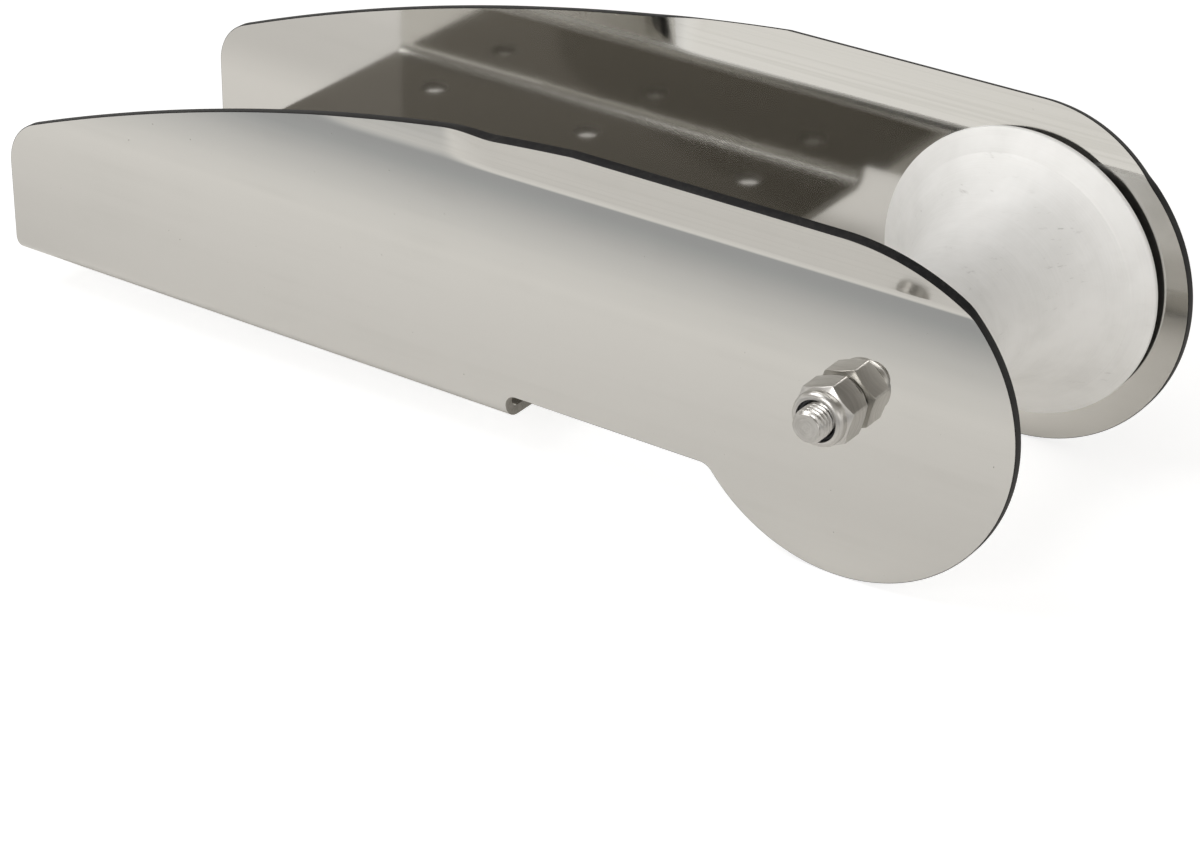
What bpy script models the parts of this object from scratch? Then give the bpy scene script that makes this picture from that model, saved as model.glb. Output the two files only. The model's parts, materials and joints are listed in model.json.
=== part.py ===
"""Bow roller: a folded stainless channel that carries a grooved roller on a sleeved axle bolt.

The origin is the middle of the base's underside. +X points forward over the bow, +Z points up
and the nut is on the -Y side. Everything is in metres.
"""

import math

import bmesh
import bpy
from mathutils import Matrix, Vector

# Channel, cut as one flat blank and then folded
SHEET = 0.003
INNER_WIDTH = 0.100
BASE_LENGTH = 0.194
BASE_BEND_INSIDE = 0.003
CHEEK_LIFT = 0.0087
NOTCH_RADIUS = 0.0033
NOSE_FILLET = 0.005
REAR_HEIGHT = 0.0432
REAR_CORNER_RADIUS = 0.0164
TOP_ARC_RADIUS = 0.82

# Axle line and the nose, whose centre lies a little below it
AXLE_REACH = 0.1128
AXLE_HEIGHT = 0.0422
NOSE_DROP = 0.001
NOSE_RADIUS = 0.0537
TOP_LINE_REACH = 0.087

# Outward flare along the cheeks' top edges, which opens a little over its lead-in and then fully
FLARE_DEPTH = 0.0165
FLARE_ANGLE = math.radians(19.2)
FLARE_BEND_INSIDE = 0.0075
FLARE_LEAD = 0.049
FLARE_FADE = 0.022
LEAD_IN_START = 0.055
LEAD_IN_LENGTH = 0.025
LEAD_IN_SHARE = 0.2

# Bolt holes through the base
DECK_HOLE_RADIUS = 0.0045
DECK_HOLE_ROWS = 3
DECK_HOLE_END_MARGIN = 0.031
DECK_HOLE_SIDE_MARGIN = 0.018

# Roller
RIM_RADIUS = 0.0450
RIM_LAND = 0.0016
RIM_BAND = 0.0074
RIM_BAND_SLOPE = math.radians(62.0)
RIM_CHAMFER = 0.0004
HUB_WALL = 0.0106
ROLLER_SIDE_GAP = 0.0019
HUB_RECESS_DEPTH = 0.001
BUSH_WALL = 0.0017
BUSH_LENGTH = 0.025
FLANGE_BORDER = 0.0038

# Axle bolt, sleeve and fasteners
BOLT_RADIUS = 0.005
BOLT_STICK_OUT = 0.0187
BOLT_CHAMFER = 0.0010
SLEEVE_WALL = 0.0015
HEX_WALL = 0.0035
HEX_END_INSET = 0.0009
HEAD_HEIGHT = 0.0068
LOCK_NUT_HEX_HEIGHT = 0.0103
LOCK_NUT_HEIGHT = 0.0135
SEAT_FACE_HEIGHT = 0.0006
SEAT_FACE_INSET = 0.0013
LOCK_COLLAR_WALL = 0.0012
LOCK_COLLAR_ROUND = 0.0018
LOCK_LIP_LENGTH = 0.0010
LOCK_LIP_INSET = 0.0007
INSERT_LENGTH = 0.0025
INSERT_WALL = 0.0014
WASHER_BORDER = 0.005
WASHER_THICKNESS = 0.002
EDGE_BREAK = 0.0004
LOCK_NUT_TURN = math.radians(13.5)
HEAD_TURN = math.radians(20.0)

# Clearances, how far a cut runs past what it cuts, and how close two points count as one
FACE_GAP = 0.0003
RUNNING_GAP = 0.0003
THREAD_GAP = 0.0003
AXLE_HOLE_GAP = 0.0003
CUT_SPARE = 0.001
MESH_MERGE = 0.000005

# Fineness of round shapes
ROLLER_STEPS = 48
SMALL_STEPS = 24
HOLE_POINTS = 24
BEND_STEPS = 5
FADE_STEPS = 10
LEAD_IN_STEPS = 5
GROOVE_STEPS = 10

# Derived places in the side view
REAR_X = -BASE_LENGTH / 2
FRONT_X = BASE_LENGTH / 2
AXLE_X = FRONT_X + AXLE_REACH
NOSE_HEIGHT = AXLE_HEIGHT - NOSE_DROP
TOP_LINE_START_X = AXLE_X - TOP_LINE_REACH
FLARE_START_X = TOP_LINE_START_X - FLARE_LEAD
LEAD_IN_START_X = FLARE_START_X - LEAD_IN_START
FLARE_FOLD_HEIGHT = NOSE_HEIGHT + NOSE_RADIUS - FLARE_DEPTH

# Derived places across the channel
CHEEK_INSIDE_Y = INNER_WIDTH / 2
CHEEK_OUTSIDE_Y = CHEEK_INSIDE_Y + SHEET
BASE_BEND_MIDDLE = BASE_BEND_INSIDE + SHEET / 2
BASE_FLAT_HALF = CHEEK_INSIDE_Y - BASE_BEND_INSIDE
BASE_BEND_LENGTH = BASE_BEND_MIDDLE * math.pi / 2
CHEEK_START_HEIGHT = SHEET + BASE_BEND_INSIDE
CHEEK_START = BASE_FLAT_HALF + BASE_BEND_LENGTH
FLARE_BEND_MIDDLE = FLARE_BEND_INSIDE + SHEET / 2
FLARE_BEND_LENGTH = FLARE_BEND_MIDDLE * FLARE_ANGLE

# Derived radii and stations on the axle line
SLEEVE_BORE = BOLT_RADIUS + THREAD_GAP
SLEEVE_RADIUS = SLEEVE_BORE + SLEEVE_WALL
BUSH_BORE = SLEEVE_RADIUS + RUNNING_GAP
BUSH_RADIUS = BUSH_BORE + BUSH_WALL
ROLLER_BORE = BUSH_RADIUS + FACE_GAP
FLANGE_RADIUS = BUSH_RADIUS + FLANGE_BORDER
RECESS_RADIUS = FLANGE_RADIUS + FACE_GAP
GROOVE_RADIUS = ROLLER_BORE + HUB_WALL
ROLLER_WIDTH = INNER_WIDTH - 2 * ROLLER_SIDE_GAP
GROOVE_WIDTH = ROLLER_WIDTH - 2 * RIM_LAND
FLANGE_THICKNESS = ROLLER_SIDE_GAP + HUB_RECESS_DEPTH - 2 * FACE_GAP
THREAD_BORE = BOLT_RADIUS + THREAD_GAP
INSERT_RADIUS = THREAD_BORE + INSERT_WALL
INSERT_SEAT = INSERT_RADIUS + FACE_GAP
LOCK_LIP_RADIUS = INSERT_SEAT - LOCK_LIP_INSET
LOCK_COLLAR_RADIUS = INSERT_SEAT + LOCK_COLLAR_WALL
WASHER_RADIUS = BOLT_RADIUS + WASHER_BORDER
HEX_HALF_FLATS = BOLT_RADIUS + HEX_WALL
HEX_CORNER = HEX_HALF_FLATS * 2 / math.sqrt(3.0)
HEX_END_RADIUS = HEX_HALF_FLATS - HEX_END_INSET
SEAT_FACE_RADIUS = HEX_HALF_FLATS - SEAT_FACE_INSET


def clear_scene():
    """Remove every object that the scene starts with."""
    for item in list(bpy.data.objects):
        bpy.data.objects.remove(item, do_unlink=True)


def make_collection(name):
    """Return a new collection linked to the scene."""
    collection = bpy.data.collections.new(name)
    bpy.context.scene.collection.children.link(collection)
    return collection


def make_material(name, colour, roughness, metallic):
    """Return a Principled material with one colour."""
    material = bpy.data.materials.new(name)
    material.use_nodes = True
    shader = material.node_tree.nodes["Principled BSDF"]
    shader.inputs["Base Color"].default_value = (*colour, 1.0)
    shader.inputs["Roughness"].default_value = roughness
    shader.inputs["Metallic"].default_value = metallic
    material.diffuse_color = (*colour, 1.0)
    return material


def arc(centre, radius, start, end, steps):
    """Return the points of an arc, both ends included, as (x, y) pairs."""
    points = []
    for step in range(steps + 1):
        angle = start + (end - start) * step / steps
        points.append((centre[0] + radius * math.cos(angle), centre[1] + radius * math.sin(angle)))
    return points


def blank_width(height):
    """Turn a height up the cheek into the distance from the blank's centre line."""
    return CHEEK_START + height - CHEEK_START_HEIGHT


def cheek_outline():
    """Return the +Y half of the blank's outline, from the base's front edge round to its rear edge."""
    lower = blank_width(CHEEK_LIFT)
    nose = (AXLE_X, blank_width(NOSE_HEIGHT))
    top = nose[1] + NOSE_RADIUS
    rear = blank_width(REAR_HEIGHT)

    notch = arc((FRONT_X + NOTCH_RADIUS, lower - NOTCH_RADIUS), NOTCH_RADIUS, math.pi, math.pi / 2, 5)

    fillet_y = lower - NOSE_FILLET
    reach = NOSE_RADIUS + NOSE_FILLET
    fillet_x = nose[0] - math.sqrt(reach ** 2 - (nose[1] - fillet_y) ** 2)
    toward_nose = math.atan2(nose[1] - fillet_y, nose[0] - fillet_x)
    fillet = arc((fillet_x, fillet_y), NOSE_FILLET, math.pi / 2, toward_nose, 5)

    nose_start = toward_nose + math.pi
    nose_round = arc(nose, NOSE_RADIUS, nose_start, 2.5 * math.pi, 44)

    chord = Vector((REAR_X - TOP_LINE_START_X, rear - top))
    middle = Vector((TOP_LINE_START_X, top)) + chord / 2
    depth = math.sqrt(TOP_ARC_RADIUS ** 2 - (chord.length / 2) ** 2)
    inward = Vector((-chord.y, chord.x)).normalized()
    arc_centre = middle + inward * depth
    corner_x = REAR_X + REAR_CORNER_RADIUS
    inner_radius = TOP_ARC_RADIUS - REAR_CORNER_RADIUS
    corner_y = arc_centre.y + math.sqrt(inner_radius ** 2 - (corner_x - arc_centre.x) ** 2)
    first = math.atan2(top - arc_centre.y, TOP_LINE_START_X - arc_centre.x)
    last = math.atan2(corner_y - arc_centre.y, corner_x - arc_centre.x)
    top_arc = arc(arc_centre, TOP_ARC_RADIUS, first, last, 14)
    corner = arc((corner_x, corner_y), REAR_CORNER_RADIUS, last, math.pi, 8)

    return notch + fillet + nose_round[1:] + top_arc + corner[1:]


def deck_hole_centres():
    """Return the centres of the bolt holes in the base."""
    centres = []
    first = REAR_X + DECK_HOLE_END_MARGIN
    pitch = (BASE_LENGTH - 2 * DECK_HOLE_END_MARGIN) / (DECK_HOLE_ROWS - 1)
    for row in range(DECK_HOLE_ROWS):
        for side in (-1, 1):
            centres.append((first + row * pitch, side * (BASE_FLAT_HALF - DECK_HOLE_SIDE_MARGIN)))
    return centres


def add_spline(curve, points):
    """Add a closed straight-sided spline to a curve."""
    spline = curve.splines.new("POLY")
    spline.points.add(len(points) - 1)
    for target, point in zip(spline.points, points):
        target.co = (point[0], point[1], 0.0, 1.0)
    spline.use_cyclic_u = True


def make_blank():
    """Return the flat blank as a mesh: sheet metal with its outline and its holes."""
    curve = bpy.data.curves.new("channel_blank", "CURVE")
    curve.dimensions = "2D"
    curve.fill_mode = "BOTH"
    curve.extrude = SHEET / 2
    half = cheek_outline()
    other_half = [(x, -y) for x, y in reversed(half)]
    add_spline(curve, half + other_half)
    for centre in deck_hole_centres():
        add_spline(curve, arc(centre, DECK_HOLE_RADIUS, 0.0, 2 * math.pi, HOLE_POINTS)[:-1])
    axle_hole = BOLT_RADIUS + AXLE_HOLE_GAP
    for side in (-1, 1):
        centre = (AXLE_X, side * blank_width(AXLE_HEIGHT))
        add_spline(curve, arc(centre, axle_hole, 0.0, 2 * math.pi, HOLE_POINTS)[:-1])
    source = bpy.data.objects.new("channel_blank", curve)
    bpy.context.scene.collection.objects.link(source)
    depsgraph = bpy.context.evaluated_depsgraph_get()
    mesh = bpy.data.meshes.new_from_object(source.evaluated_get(depsgraph))
    bpy.data.objects.remove(source, do_unlink=True)
    return mesh


def eased(share):
    """Return a share of the way, held between 0 and 1 and eased at both ends."""
    share = min(max(share, 0.0), 1.0)
    return share * share * (3.0 - 2.0 * share)


def flare_share(x):
    """Return how far the flare is open at x: 0 behind its lead-in, 1 once it is full."""
    lead_in = eased((x - LEAD_IN_START_X) / LEAD_IN_LENGTH)
    opening = eased((x - FLARE_START_X) / FLARE_FADE)
    return LEAD_IN_SHARE * lead_in + (1.0 - LEAD_IN_SHARE) * opening


def fold(x, across, offset):
    """Return where a point of the blank lies once the sheet is folded.

    across is the distance from the centre line and offset the distance from the sheet's middle.
    """
    side = 1.0 if across >= 0.0 else -1.0
    width = abs(across)
    behind_front = x < FRONT_X + 2 * NOTCH_RADIUS
    if width <= BASE_FLAT_HALF and behind_front:
        return Vector((x, across, SHEET / 2 + offset))
    if width < CHEEK_START and behind_front:
        turn = (width - BASE_FLAT_HALF) / BASE_BEND_MIDDLE
        radius = BASE_BEND_MIDDLE - offset
        y = BASE_FLAT_HALF + radius * math.sin(turn)
        return Vector((x, side * y, CHEEK_START_HEIGHT - radius * math.cos(turn)))
    height = width - CHEEK_START + CHEEK_START_HEIGHT
    past_fold = height - FLARE_FOLD_HEIGHT
    middle_y = CHEEK_INSIDE_Y + SHEET / 2
    if past_fold <= 0.0:
        return Vector((x, side * (middle_y - offset), height))
    angle = FLARE_ANGLE * flare_share(x)
    turn = angle * min(past_fold / FLARE_BEND_LENGTH, 1.0)
    if turn < 1e-6:
        return Vector((x, side * (middle_y - offset), height))
    bend = FLARE_BEND_LENGTH / angle
    straight = max(past_fold - FLARE_BEND_LENGTH, 0.0)
    y = middle_y + bend * (1.0 - math.cos(turn)) + straight * math.sin(turn) - offset * math.cos(turn)
    z = FLARE_FOLD_HEIGHT + bend * math.sin(turn) + straight * math.cos(turn) + offset * math.sin(turn)
    return Vector((x, side * y, z))


def fold_lines():
    """Return the distances from the centre line at which the sheet starts to change direction."""
    lines = []
    for step in range(BEND_STEPS + 1):
        lines.append(BASE_FLAT_HALF + BASE_BEND_LENGTH * step / BEND_STEPS)
        lines.append(blank_width(FLARE_FOLD_HEIGHT) + FLARE_BEND_LENGTH * step / BEND_STEPS)
    return lines


def cut_along(cut, point, normal, least_across=0.0):
    """Split along a plane every face that lies at least so far from the centre line, keeping both sides."""
    cut.edges.index_update()
    cut.verts.index_update()
    faces = [face for face in cut.faces if abs(face.calc_center_median().y) >= least_across]
    edges = {edge for face in faces for edge in face.edges}
    corners = {corner for face in faces for corner in face.verts}
    geometry = faces + sorted(edges, key=lambda edge: edge.index)
    geometry += sorted(corners, key=lambda corner: corner.index)
    bmesh.ops.bisect_plane(cut, geom=geometry, dist=MESH_MERGE, plane_co=point, plane_no=normal)


def make_channel(collection, material):
    """Fold the blank into the base, the two cheeks and their flared top edges."""
    mesh = make_blank()
    sheet = bmesh.new()
    sheet.from_mesh(mesh)
    bmesh.ops.remove_doubles(sheet, verts=sheet.verts[:], dist=MESH_MERGE)
    flat = 1e-4
    bmesh.ops.dissolve_limit(sheet, angle_limit=flat, verts=sheet.verts[:], edges=sheet.edges[:])
    for line in fold_lines():
        for side in (-1, 1):
            cut_along(sheet, (0.0, side * line, 0.0), (0.0, 1.0, 0.0))
    stations = [FLARE_START_X + FLARE_FADE * step / FADE_STEPS for step in range(FADE_STEPS + 1)]
    stations += [LEAD_IN_START_X + LEAD_IN_LENGTH * step / LEAD_IN_STEPS for step in range(LEAD_IN_STEPS + 1)]
    for x in stations:
        cut_along(sheet, (x, 0.0, 0.0), (1.0, 0.0, 0.0), least_across=blank_width(FLARE_FOLD_HEIGHT))
    bmesh.ops.remove_doubles(sheet, verts=sheet.verts[:], dist=MESH_MERGE)
    bmesh.ops.triangulate(sheet, faces=sheet.faces[:])
    for vertex in sheet.verts:
        vertex.co = fold(*vertex.co)
    bmesh.ops.recalc_face_normals(sheet, faces=sheet.faces[:])
    sheet.to_mesh(mesh)
    sheet.free()
    mesh.name = "channel"
    mesh.shade_smooth()
    mesh.set_sharp_from_angle(angle=math.radians(30.0))
    channel = bpy.data.objects.new("channel", mesh)
    mesh.materials.clear()
    mesh.materials.append(material)
    collection.objects.link(channel)
    return channel


def turned(name, profile, steps, collection, axle, material=None):
    """Return a turned piece on the axle line.

    profile holds (radius, y) pairs: down the outer side from +Y to -Y and back up the bore.
    A profile that starts and ends on the axis makes a solid without a bore.
    """
    mesh = bpy.data.meshes.new(name)
    vertices = [(radius, 0.0, along) for radius, along in profile]
    edges = [(index, index + 1) for index in range(len(profile) - 1)]
    if profile[0][0] > 0.0:
        edges.append((len(profile) - 1, 0))
    mesh.from_pydata(vertices, edges, [])
    piece = bpy.data.objects.new(name, mesh)
    collection.objects.link(piece)
    screw = piece.modifiers.new("turn", "SCREW")
    screw.axis = "Z"
    screw.steps = steps
    screw.render_steps = steps
    screw.use_merge_vertices = True
    screw.merge_threshold = 0.00001
    screw.use_smooth_shade = True
    piece.parent = axle
    piece.rotation_euler = (-math.pi / 2, 0.0, 0.0)
    if material is not None:
        mesh.materials.append(material)
    return piece


def ring(outer, inner, start, end, break_edge):
    """Return the profile of a ring between two stations, with its four edges broken."""
    return [
        (outer - break_edge, end),
        (outer, end - break_edge),
        (outer, start + break_edge),
        (outer - break_edge, start),
        (inner + break_edge, start),
        (inner, start + break_edge),
        (inner, end - break_edge),
        (inner + break_edge, end),
    ]


def groove_profile():
    """Return the roller's groove from its +Y land to its -Y land."""
    edge = GROOVE_WIDTH / 2
    band_depth = RIM_BAND * math.sin(RIM_BAND_SLOPE)
    band_width = RIM_BAND * math.cos(RIM_BAND_SLOPE)
    arc_edge = edge - band_width
    arc_depth = RIM_RADIUS - band_depth - GROOVE_RADIUS
    groove_round = (arc_edge ** 2 + arc_depth ** 2) / (2 * arc_depth)
    centre = GROOVE_RADIUS + groove_round
    spread = math.asin(arc_edge / groove_round)
    points = [(RIM_RADIUS, edge)]
    for step in range(GROOVE_STEPS + 1):
        angle = spread * (1.0 - 2.0 * step / GROOVE_STEPS)
        points.append((centre - groove_round * math.cos(angle), groove_round * math.sin(angle)))
    points.append((RIM_RADIUS, -edge))
    return points


def make_roller(parts, axle, material):
    """Turn the roller: rims, groove, bore and a shallow recess for each bush flange."""
    half = ROLLER_WIDTH / 2
    profile = [(RIM_RADIUS - RIM_CHAMFER, half), (RIM_RADIUS, half - RIM_CHAMFER)]
    profile += groove_profile()
    profile += [(RIM_RADIUS, RIM_CHAMFER - half), (RIM_RADIUS - RIM_CHAMFER, -half)]
    profile += [
        (RECESS_RADIUS, -half),
        (RECESS_RADIUS, HUB_RECESS_DEPTH - half),
        (ROLLER_BORE, HUB_RECESS_DEPTH - half),
        (ROLLER_BORE, half - HUB_RECESS_DEPTH),
        (RECESS_RADIUS, half - HUB_RECESS_DEPTH),
        (RECESS_RADIUS, half),
    ]
    turned("roller", profile, ROLLER_STEPS, parts, axle, material)


def make_bushes(parts, axle, material):
    """Make the two flanged bushes that turn with the roller, one at each end of its bore."""
    flange_top = CHEEK_INSIDE_Y - FACE_GAP
    flange_foot = flange_top - FLANGE_THICKNESS
    end = flange_foot - BUSH_LENGTH
    profile = [
        (FLANGE_RADIUS - EDGE_BREAK, flange_top),
        (FLANGE_RADIUS, flange_top - EDGE_BREAK),
        (FLANGE_RADIUS, flange_foot),
        (BUSH_RADIUS, flange_foot),
        (BUSH_RADIUS, end + EDGE_BREAK),
        (BUSH_RADIUS - EDGE_BREAK, end),
        (BUSH_BORE, end),
        (BUSH_BORE, flange_top),
    ]
    for name, turn in (("near_bush", math.pi / 2), ("far_bush", -math.pi / 2)):
        bush = turned(name, profile, SMALL_STEPS, parts, axle, material)
        bush.rotation_euler = (turn, 0.0, 0.0)


def make_hex(name, height, start, angle, collection, axle):
    """Return a six-sided block on the axle line whose corners are turned off at both ends."""
    mesh = bpy.data.meshes.new(name)
    block = bmesh.new()
    bmesh.ops.create_cone(
        block, cap_ends=True, segments=6, radius1=HEX_CORNER, radius2=HEX_CORNER, depth=height
    )
    block.to_mesh(mesh)
    block.free()
    piece = bpy.data.objects.new(name, mesh)
    collection.objects.link(piece)
    piece.parent = axle
    piece.rotation_euler = (-math.pi / 2, 0.0, 0.0)
    piece.location.y = start + height / 2
    mesh.transform(Matrix.Rotation(angle, 4, "Z"))
    return piece


def as_cutter(piece):
    """Mark a piece as a tool shape that is not part of the object."""
    piece.hide_render = True
    piece.display_type = "WIRE"
    return piece


def combine(piece, tool, operation):
    """Add a boolean to a piece."""
    step = piece.modifiers.new(operation.lower(), "BOOLEAN")
    step.operation = operation
    step.solver = "EXACT"
    step.object = as_cutter(tool)


def corner_limit(name, start, height, seat_at_end, cutters, axle):
    """Return the turned shape that cuts a six-sided block's corners and leaves its round seat face.

    The seat face is the raised ring that bears on the piece beside it, at the +Y end or the -Y end.
    """
    end = start + height
    top = [(0.0, end)]
    foot = [(0.0, start)]
    upper = end
    lower = start
    if seat_at_end:
        upper = end - SEAT_FACE_HEIGHT
        top += [(SEAT_FACE_RADIUS, end), (SEAT_FACE_RADIUS, upper)]
    else:
        lower = start + SEAT_FACE_HEIGHT
        foot = [(SEAT_FACE_RADIUS, lower), (SEAT_FACE_RADIUS, start)] + foot
    wide = HEX_CORNER + CUT_SPARE
    drop = (wide - HEX_END_RADIUS) * math.tan(math.radians(30.0))
    corners = [(HEX_END_RADIUS, upper), (wide, upper - drop), (wide, lower + drop), (HEX_END_RADIUS, lower)]
    return turned(name, top + corners + foot, SMALL_STEPS, cutters, axle)


def bore_tool(name, radius, start, end, cutters, axle):
    """Return a plain round tool that runs past both stations."""
    top = end + CUT_SPARE
    foot = start - CUT_SPARE
    profile = [(0.0, top), (radius, top), (radius, foot), (0.0, foot)]
    return turned(name, profile, SMALL_STEPS, cutters, axle)


def make_bolt(parts, cutters, axle, material):
    """Make the axle bolt: a six-sided head outside the far cheek and a long round shank."""
    head_start = CHEEK_OUTSIDE_Y + FACE_GAP + WASHER_THICKNESS + FACE_GAP
    tip = -CHEEK_OUTSIDE_Y - BOLT_STICK_OUT
    bolt = make_hex("axle_bolt", HEAD_HEIGHT, head_start, HEAD_TURN, parts, axle)
    bolt.data.materials.append(material)
    limit = corner_limit("head_limit", head_start, HEAD_HEIGHT, False, cutters, axle)
    combine(bolt, limit, "INTERSECT")
    shank_end = head_start + HEAD_HEIGHT / 2
    profile = [
        (0.0, shank_end),
        (BOLT_RADIUS, shank_end),
        (BOLT_RADIUS, tip + BOLT_CHAMFER),
        (BOLT_RADIUS - BOLT_CHAMFER, tip),
        (0.0, tip),
    ]
    shank = turned("shank_shape", profile, SMALL_STEPS, cutters, axle)
    combine(bolt, shank, "UNION")


def make_lock_nut(parts, cutters, axle, metal, plastic):
    """Make the lock nut that clamps against the near cheek, and the plastic ring in its collar."""
    inside = -CHEEK_OUTSIDE_Y - FACE_GAP
    hex_start = inside - LOCK_NUT_HEX_HEIGHT
    start = inside - LOCK_NUT_HEIGHT
    nut = make_hex("lock_nut", LOCK_NUT_HEX_HEIGHT, hex_start, LOCK_NUT_TURN, parts, axle)
    nut.data.materials.append(metal)
    limit = corner_limit("lock_nut_limit", hex_start, LOCK_NUT_HEX_HEIGHT, True, cutters, axle)
    combine(nut, limit, "INTERSECT")
    root = hex_start + LOCK_NUT_HEX_HEIGHT / 2
    edge = (LOCK_COLLAR_RADIUS - LOCK_COLLAR_ROUND, start + LOCK_COLLAR_ROUND)
    rounded = arc(edge, LOCK_COLLAR_ROUND, 0.0, -math.pi / 2, 5)
    collar_profile = [(0.0, root), (LOCK_COLLAR_RADIUS, root)] + rounded + [(0.0, start)]
    collar = turned("collar_shape", collar_profile, SMALL_STEPS, cutters, axle)
    # Half a step of turn keeps the collar's facets off those of the cut corners
    collar.rotation_euler.y = math.pi / SMALL_STEPS
    combine(nut, collar, "UNION")
    lip_end = start + LOCK_LIP_LENGTH
    insert_start = lip_end + FACE_GAP
    insert_end = insert_start + INSERT_LENGTH
    bore_profile = [
        (0.0, inside + CUT_SPARE),
        (THREAD_BORE, inside + CUT_SPARE),
        (THREAD_BORE, insert_end + FACE_GAP),
        (INSERT_SEAT, insert_end + FACE_GAP),
        (INSERT_SEAT, lip_end),
        (LOCK_LIP_RADIUS, lip_end),
        (LOCK_LIP_RADIUS, start - CUT_SPARE),
        (0.0, start - CUT_SPARE),
    ]
    combine(nut, turned("lock_nut_bore", bore_profile, SMALL_STEPS, cutters, axle), "DIFFERENCE")
    insert = ring(INSERT_RADIUS, THREAD_BORE, insert_start, insert_end, EDGE_BREAK)
    turned("lock_nut_insert", insert, SMALL_STEPS, parts, axle, plastic)


def main():
    """Build every piece of the bow roller."""
    clear_scene()
    parts = make_collection("bow_roller")
    cutters = make_collection("cutters")
    polished = make_material("polished_stainless", (0.80, 0.79, 0.77), 0.10, 1.0)
    satin = make_material("satin_alloy", (0.86, 0.86, 0.85), 0.38, 1.0)
    fastener = make_material("fastener_steel", (0.52, 0.51, 0.48), 0.30, 1.0)
    bearing = make_material("bearing_polymer", (0.82, 0.80, 0.74), 0.55, 0.0)
    insert = make_material("lock_insert", (0.06, 0.06, 0.07), 0.50, 0.0)

    axle = bpy.data.objects.new("axle_line", None)
    axle.location = (AXLE_X, 0.0, AXLE_HEIGHT)
    parts.objects.link(axle)

    make_channel(parts, polished)
    make_roller(parts, axle, satin)
    make_bushes(parts, axle, bearing)

    sleeve_half = CHEEK_INSIDE_Y - FACE_GAP
    sleeve = ring(SLEEVE_RADIUS, SLEEVE_BORE, -sleeve_half, sleeve_half, EDGE_BREAK)
    turned("axle_sleeve", sleeve, SMALL_STEPS, parts, axle, fastener)

    washer_start = CHEEK_OUTSIDE_Y + FACE_GAP
    washer_end = washer_start + WASHER_THICKNESS
    washer = ring(WASHER_RADIUS, BOLT_RADIUS + FACE_GAP, washer_start, washer_end, EDGE_BREAK)
    turned("head_washer", washer, SMALL_STEPS, parts, axle, fastener)
    make_bolt(parts, cutters, axle, fastener)
    make_lock_nut(parts, cutters, axle, fastener, insert)


main()
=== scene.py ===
"""Dresses the bow roller: the fine surface, finish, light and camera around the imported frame.

All lengths are metres in the frame's own axes: +X forward over the bow, +Z up out of the deck,
and the nut on the -Y side. The origin is the middle of the base's underside.
"""

import json
import logging
import math
from dataclasses import dataclass, field
from enum import Enum
from typing import Any

import bmesh
import bpy
import numpy as np
from mathutils import Matrix, Vector


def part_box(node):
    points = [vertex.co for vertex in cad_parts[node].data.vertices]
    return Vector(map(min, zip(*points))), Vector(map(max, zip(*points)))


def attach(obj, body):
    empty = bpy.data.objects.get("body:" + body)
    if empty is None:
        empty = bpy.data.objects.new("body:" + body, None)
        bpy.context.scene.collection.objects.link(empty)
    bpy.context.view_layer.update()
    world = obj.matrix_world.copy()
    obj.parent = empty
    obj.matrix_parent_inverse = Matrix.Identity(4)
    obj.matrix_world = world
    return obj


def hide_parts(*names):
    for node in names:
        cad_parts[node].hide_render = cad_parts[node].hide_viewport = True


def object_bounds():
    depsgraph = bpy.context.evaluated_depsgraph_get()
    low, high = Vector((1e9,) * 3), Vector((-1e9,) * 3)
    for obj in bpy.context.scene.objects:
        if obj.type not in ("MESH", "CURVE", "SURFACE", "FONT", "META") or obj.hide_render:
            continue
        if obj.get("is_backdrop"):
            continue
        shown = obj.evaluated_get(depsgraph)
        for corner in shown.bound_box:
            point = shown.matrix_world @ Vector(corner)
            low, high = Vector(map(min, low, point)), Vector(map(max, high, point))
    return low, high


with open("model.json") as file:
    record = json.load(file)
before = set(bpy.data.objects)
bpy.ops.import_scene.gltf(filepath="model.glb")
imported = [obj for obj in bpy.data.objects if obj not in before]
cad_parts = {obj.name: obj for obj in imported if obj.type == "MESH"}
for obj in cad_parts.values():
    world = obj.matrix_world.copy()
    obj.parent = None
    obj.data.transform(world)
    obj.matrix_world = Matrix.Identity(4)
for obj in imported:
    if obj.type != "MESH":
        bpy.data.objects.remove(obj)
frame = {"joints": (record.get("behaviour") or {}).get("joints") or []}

LOG = logging.getLogger("bow_roller")
TURN = 2.0 * math.pi
SHARP_ANGLE = math.radians(30.0)
MERGE_DISTANCE = 1e-6
SHORTEST_SIDE = 1e-12
WHITE = (1.0, 1.0, 1.0)
EVENLY = (1.0, 1.0, 1.0)

Triple = tuple[float, float, float]
Pair = tuple[float, float]
Stops = tuple[tuple[float, Triple], ...]


class Body(Enum):
    """The two bodies that pieces ride on."""

    BRACKET = "bracket"
    ROLLER_SET = "roller_set"


class Slot(Enum):
    """The record's material slots."""

    POLISHED = "polished_stainless"
    SATIN = "satin_alloy"
    FASTENER = "fastener_steel"
    BEARING = "bearing_polymer"
    INSERT = "lock_insert"


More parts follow.
